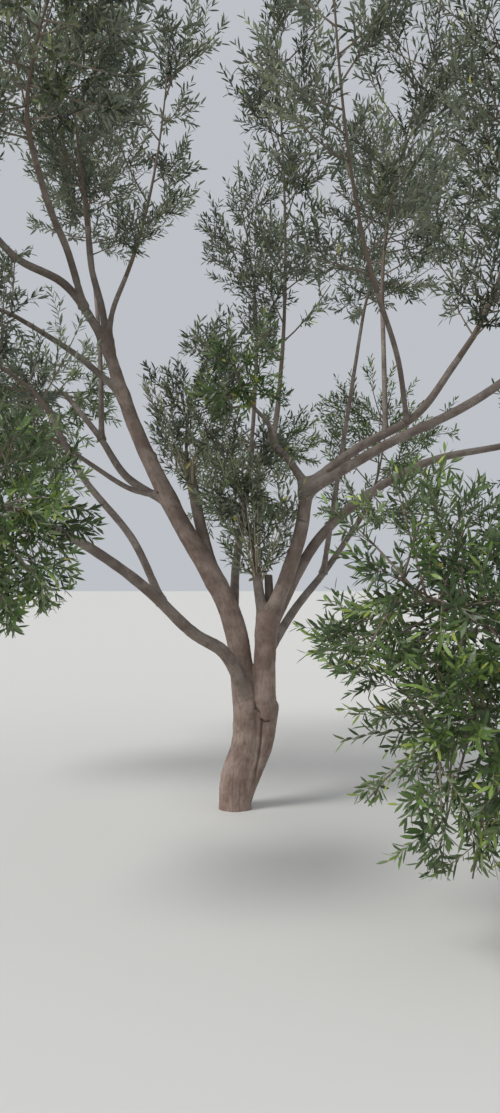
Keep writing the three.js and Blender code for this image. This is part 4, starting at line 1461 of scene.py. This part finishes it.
# %% Build the leaves
parts = np.array([mass.foliage.part for mass in masses])
in_shade = np.array([mass.foliage.shaded for mass in masses])
YOUNG_FROM = 0.62  # share of the shoot
YELLOW_FROM = 0.992  # the chance past which a leaf is turning yellow
youth = np.clip((leaves["share"] - YOUNG_FROM) / (1 - YOUNG_FROM), 0, 1)
pale = 0.9 * leaves["tint"] + 0.5 * (leaves["chance"] - 0.5) + 0.9 * youth**1.5
shaded = in_shade[leaves["owner"]]
top = np.clip((pale * 3.0).astype(int), 0, IN_THE_SUN - 1) + IN_THE_SUN * shaded
top[leaves["chance"] > YELLOW_FROM] = len(TOP_TONES) - 1
under = len(TOP_TONES) + (leaves["tint"] * 2.99).astype(int) + UNDER_IN_THE_SUN * shaded
leaf_pieces = []
for part in ("low_left", "high_left", "middle", "right", "back"):
    mine = parts[leaves["owner"]] == part
    count = int(mine.sum())
    piece = put_mesh("leaves_" + part, leaf_points(keep(leaves, mine)), np.empty((0, 4), int),
                     leaf_faces(count), False)
    numbers = np.repeat(np.stack([top[mine], under[mine]], axis=1), 4, axis=1)
    deal(piece, numbers.ravel(), leaf_paints)
    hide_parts(*(node for node, own in zip(leaf_nodes, parts) if own == part))
    leaf_pieces.append(piece)
    print(piece.name, count, "leaves,", len(piece.data.polygons), "triangles")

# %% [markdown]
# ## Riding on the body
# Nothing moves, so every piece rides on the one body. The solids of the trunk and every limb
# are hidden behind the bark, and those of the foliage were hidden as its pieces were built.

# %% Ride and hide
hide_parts("trunk", *LIMBS)
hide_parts(*(name for name in limbs if fused_to[name] < 1))
for piece in (fused, thin, *wood_pieces):
    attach(piece, "root")
for piece in leaf_pieces:
    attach(piece, "root")
print(2 + len(wood_pieces), "pieces of wood and", len(leaf_pieces), "of leaves")

# %% [markdown]
# ## Floor and light
# A wide plain floor, a pale sky all round, and one large soft light high on the left in
# front, where the light on the trunk comes from. A weaker one opens the shadows.

# %% Floor and light
HALF_FLOOR = 200
floor_corners = HALF_FLOOR * np.array([[-1, -1, 0], [1, -1, 0], [1, 1, 0], [-1, 1, 0]])
floor = put_mesh("floor", floor_corners, np.array([[0, 1, 2, 3]]), np.empty((0, 3), int), False)
floor.data.materials.append(plain_paint("pale_floor", (208, 206, 201), 0.9, 0.2))

bpy.context.scene.view_settings.view_transform = "Standard"
world = bpy.data.worlds.new("pale_sky")
bpy.context.scene.world = world
world.use_nodes = True
sky = world.node_tree.nodes["Background"].inputs
sky["Color"].default_value = tone(228, 233, 240)
sky["Strength"].default_value = 0.66


def soft_sun(name, bearing, climb, strength, width):
    """A lamp as far as the sun and as soft as its width, from a bearing and a climb."""
    lamp = bpy.data.lights.new(name, "SUN")
    lamp.energy = strength
    lamp.angle = math.radians(width)
    light = add(name, lamp)
    light.rotation_euler = (math.radians(90 - climb), 0, math.radians(bearing))


soft_sun("key_light", -62, 44, 2.4, 24)
soft_sun("fill_light", 60, 30, 0.15, 60)
print("a floor of", 2 * HALF_FLOOR, "m and two lamps")
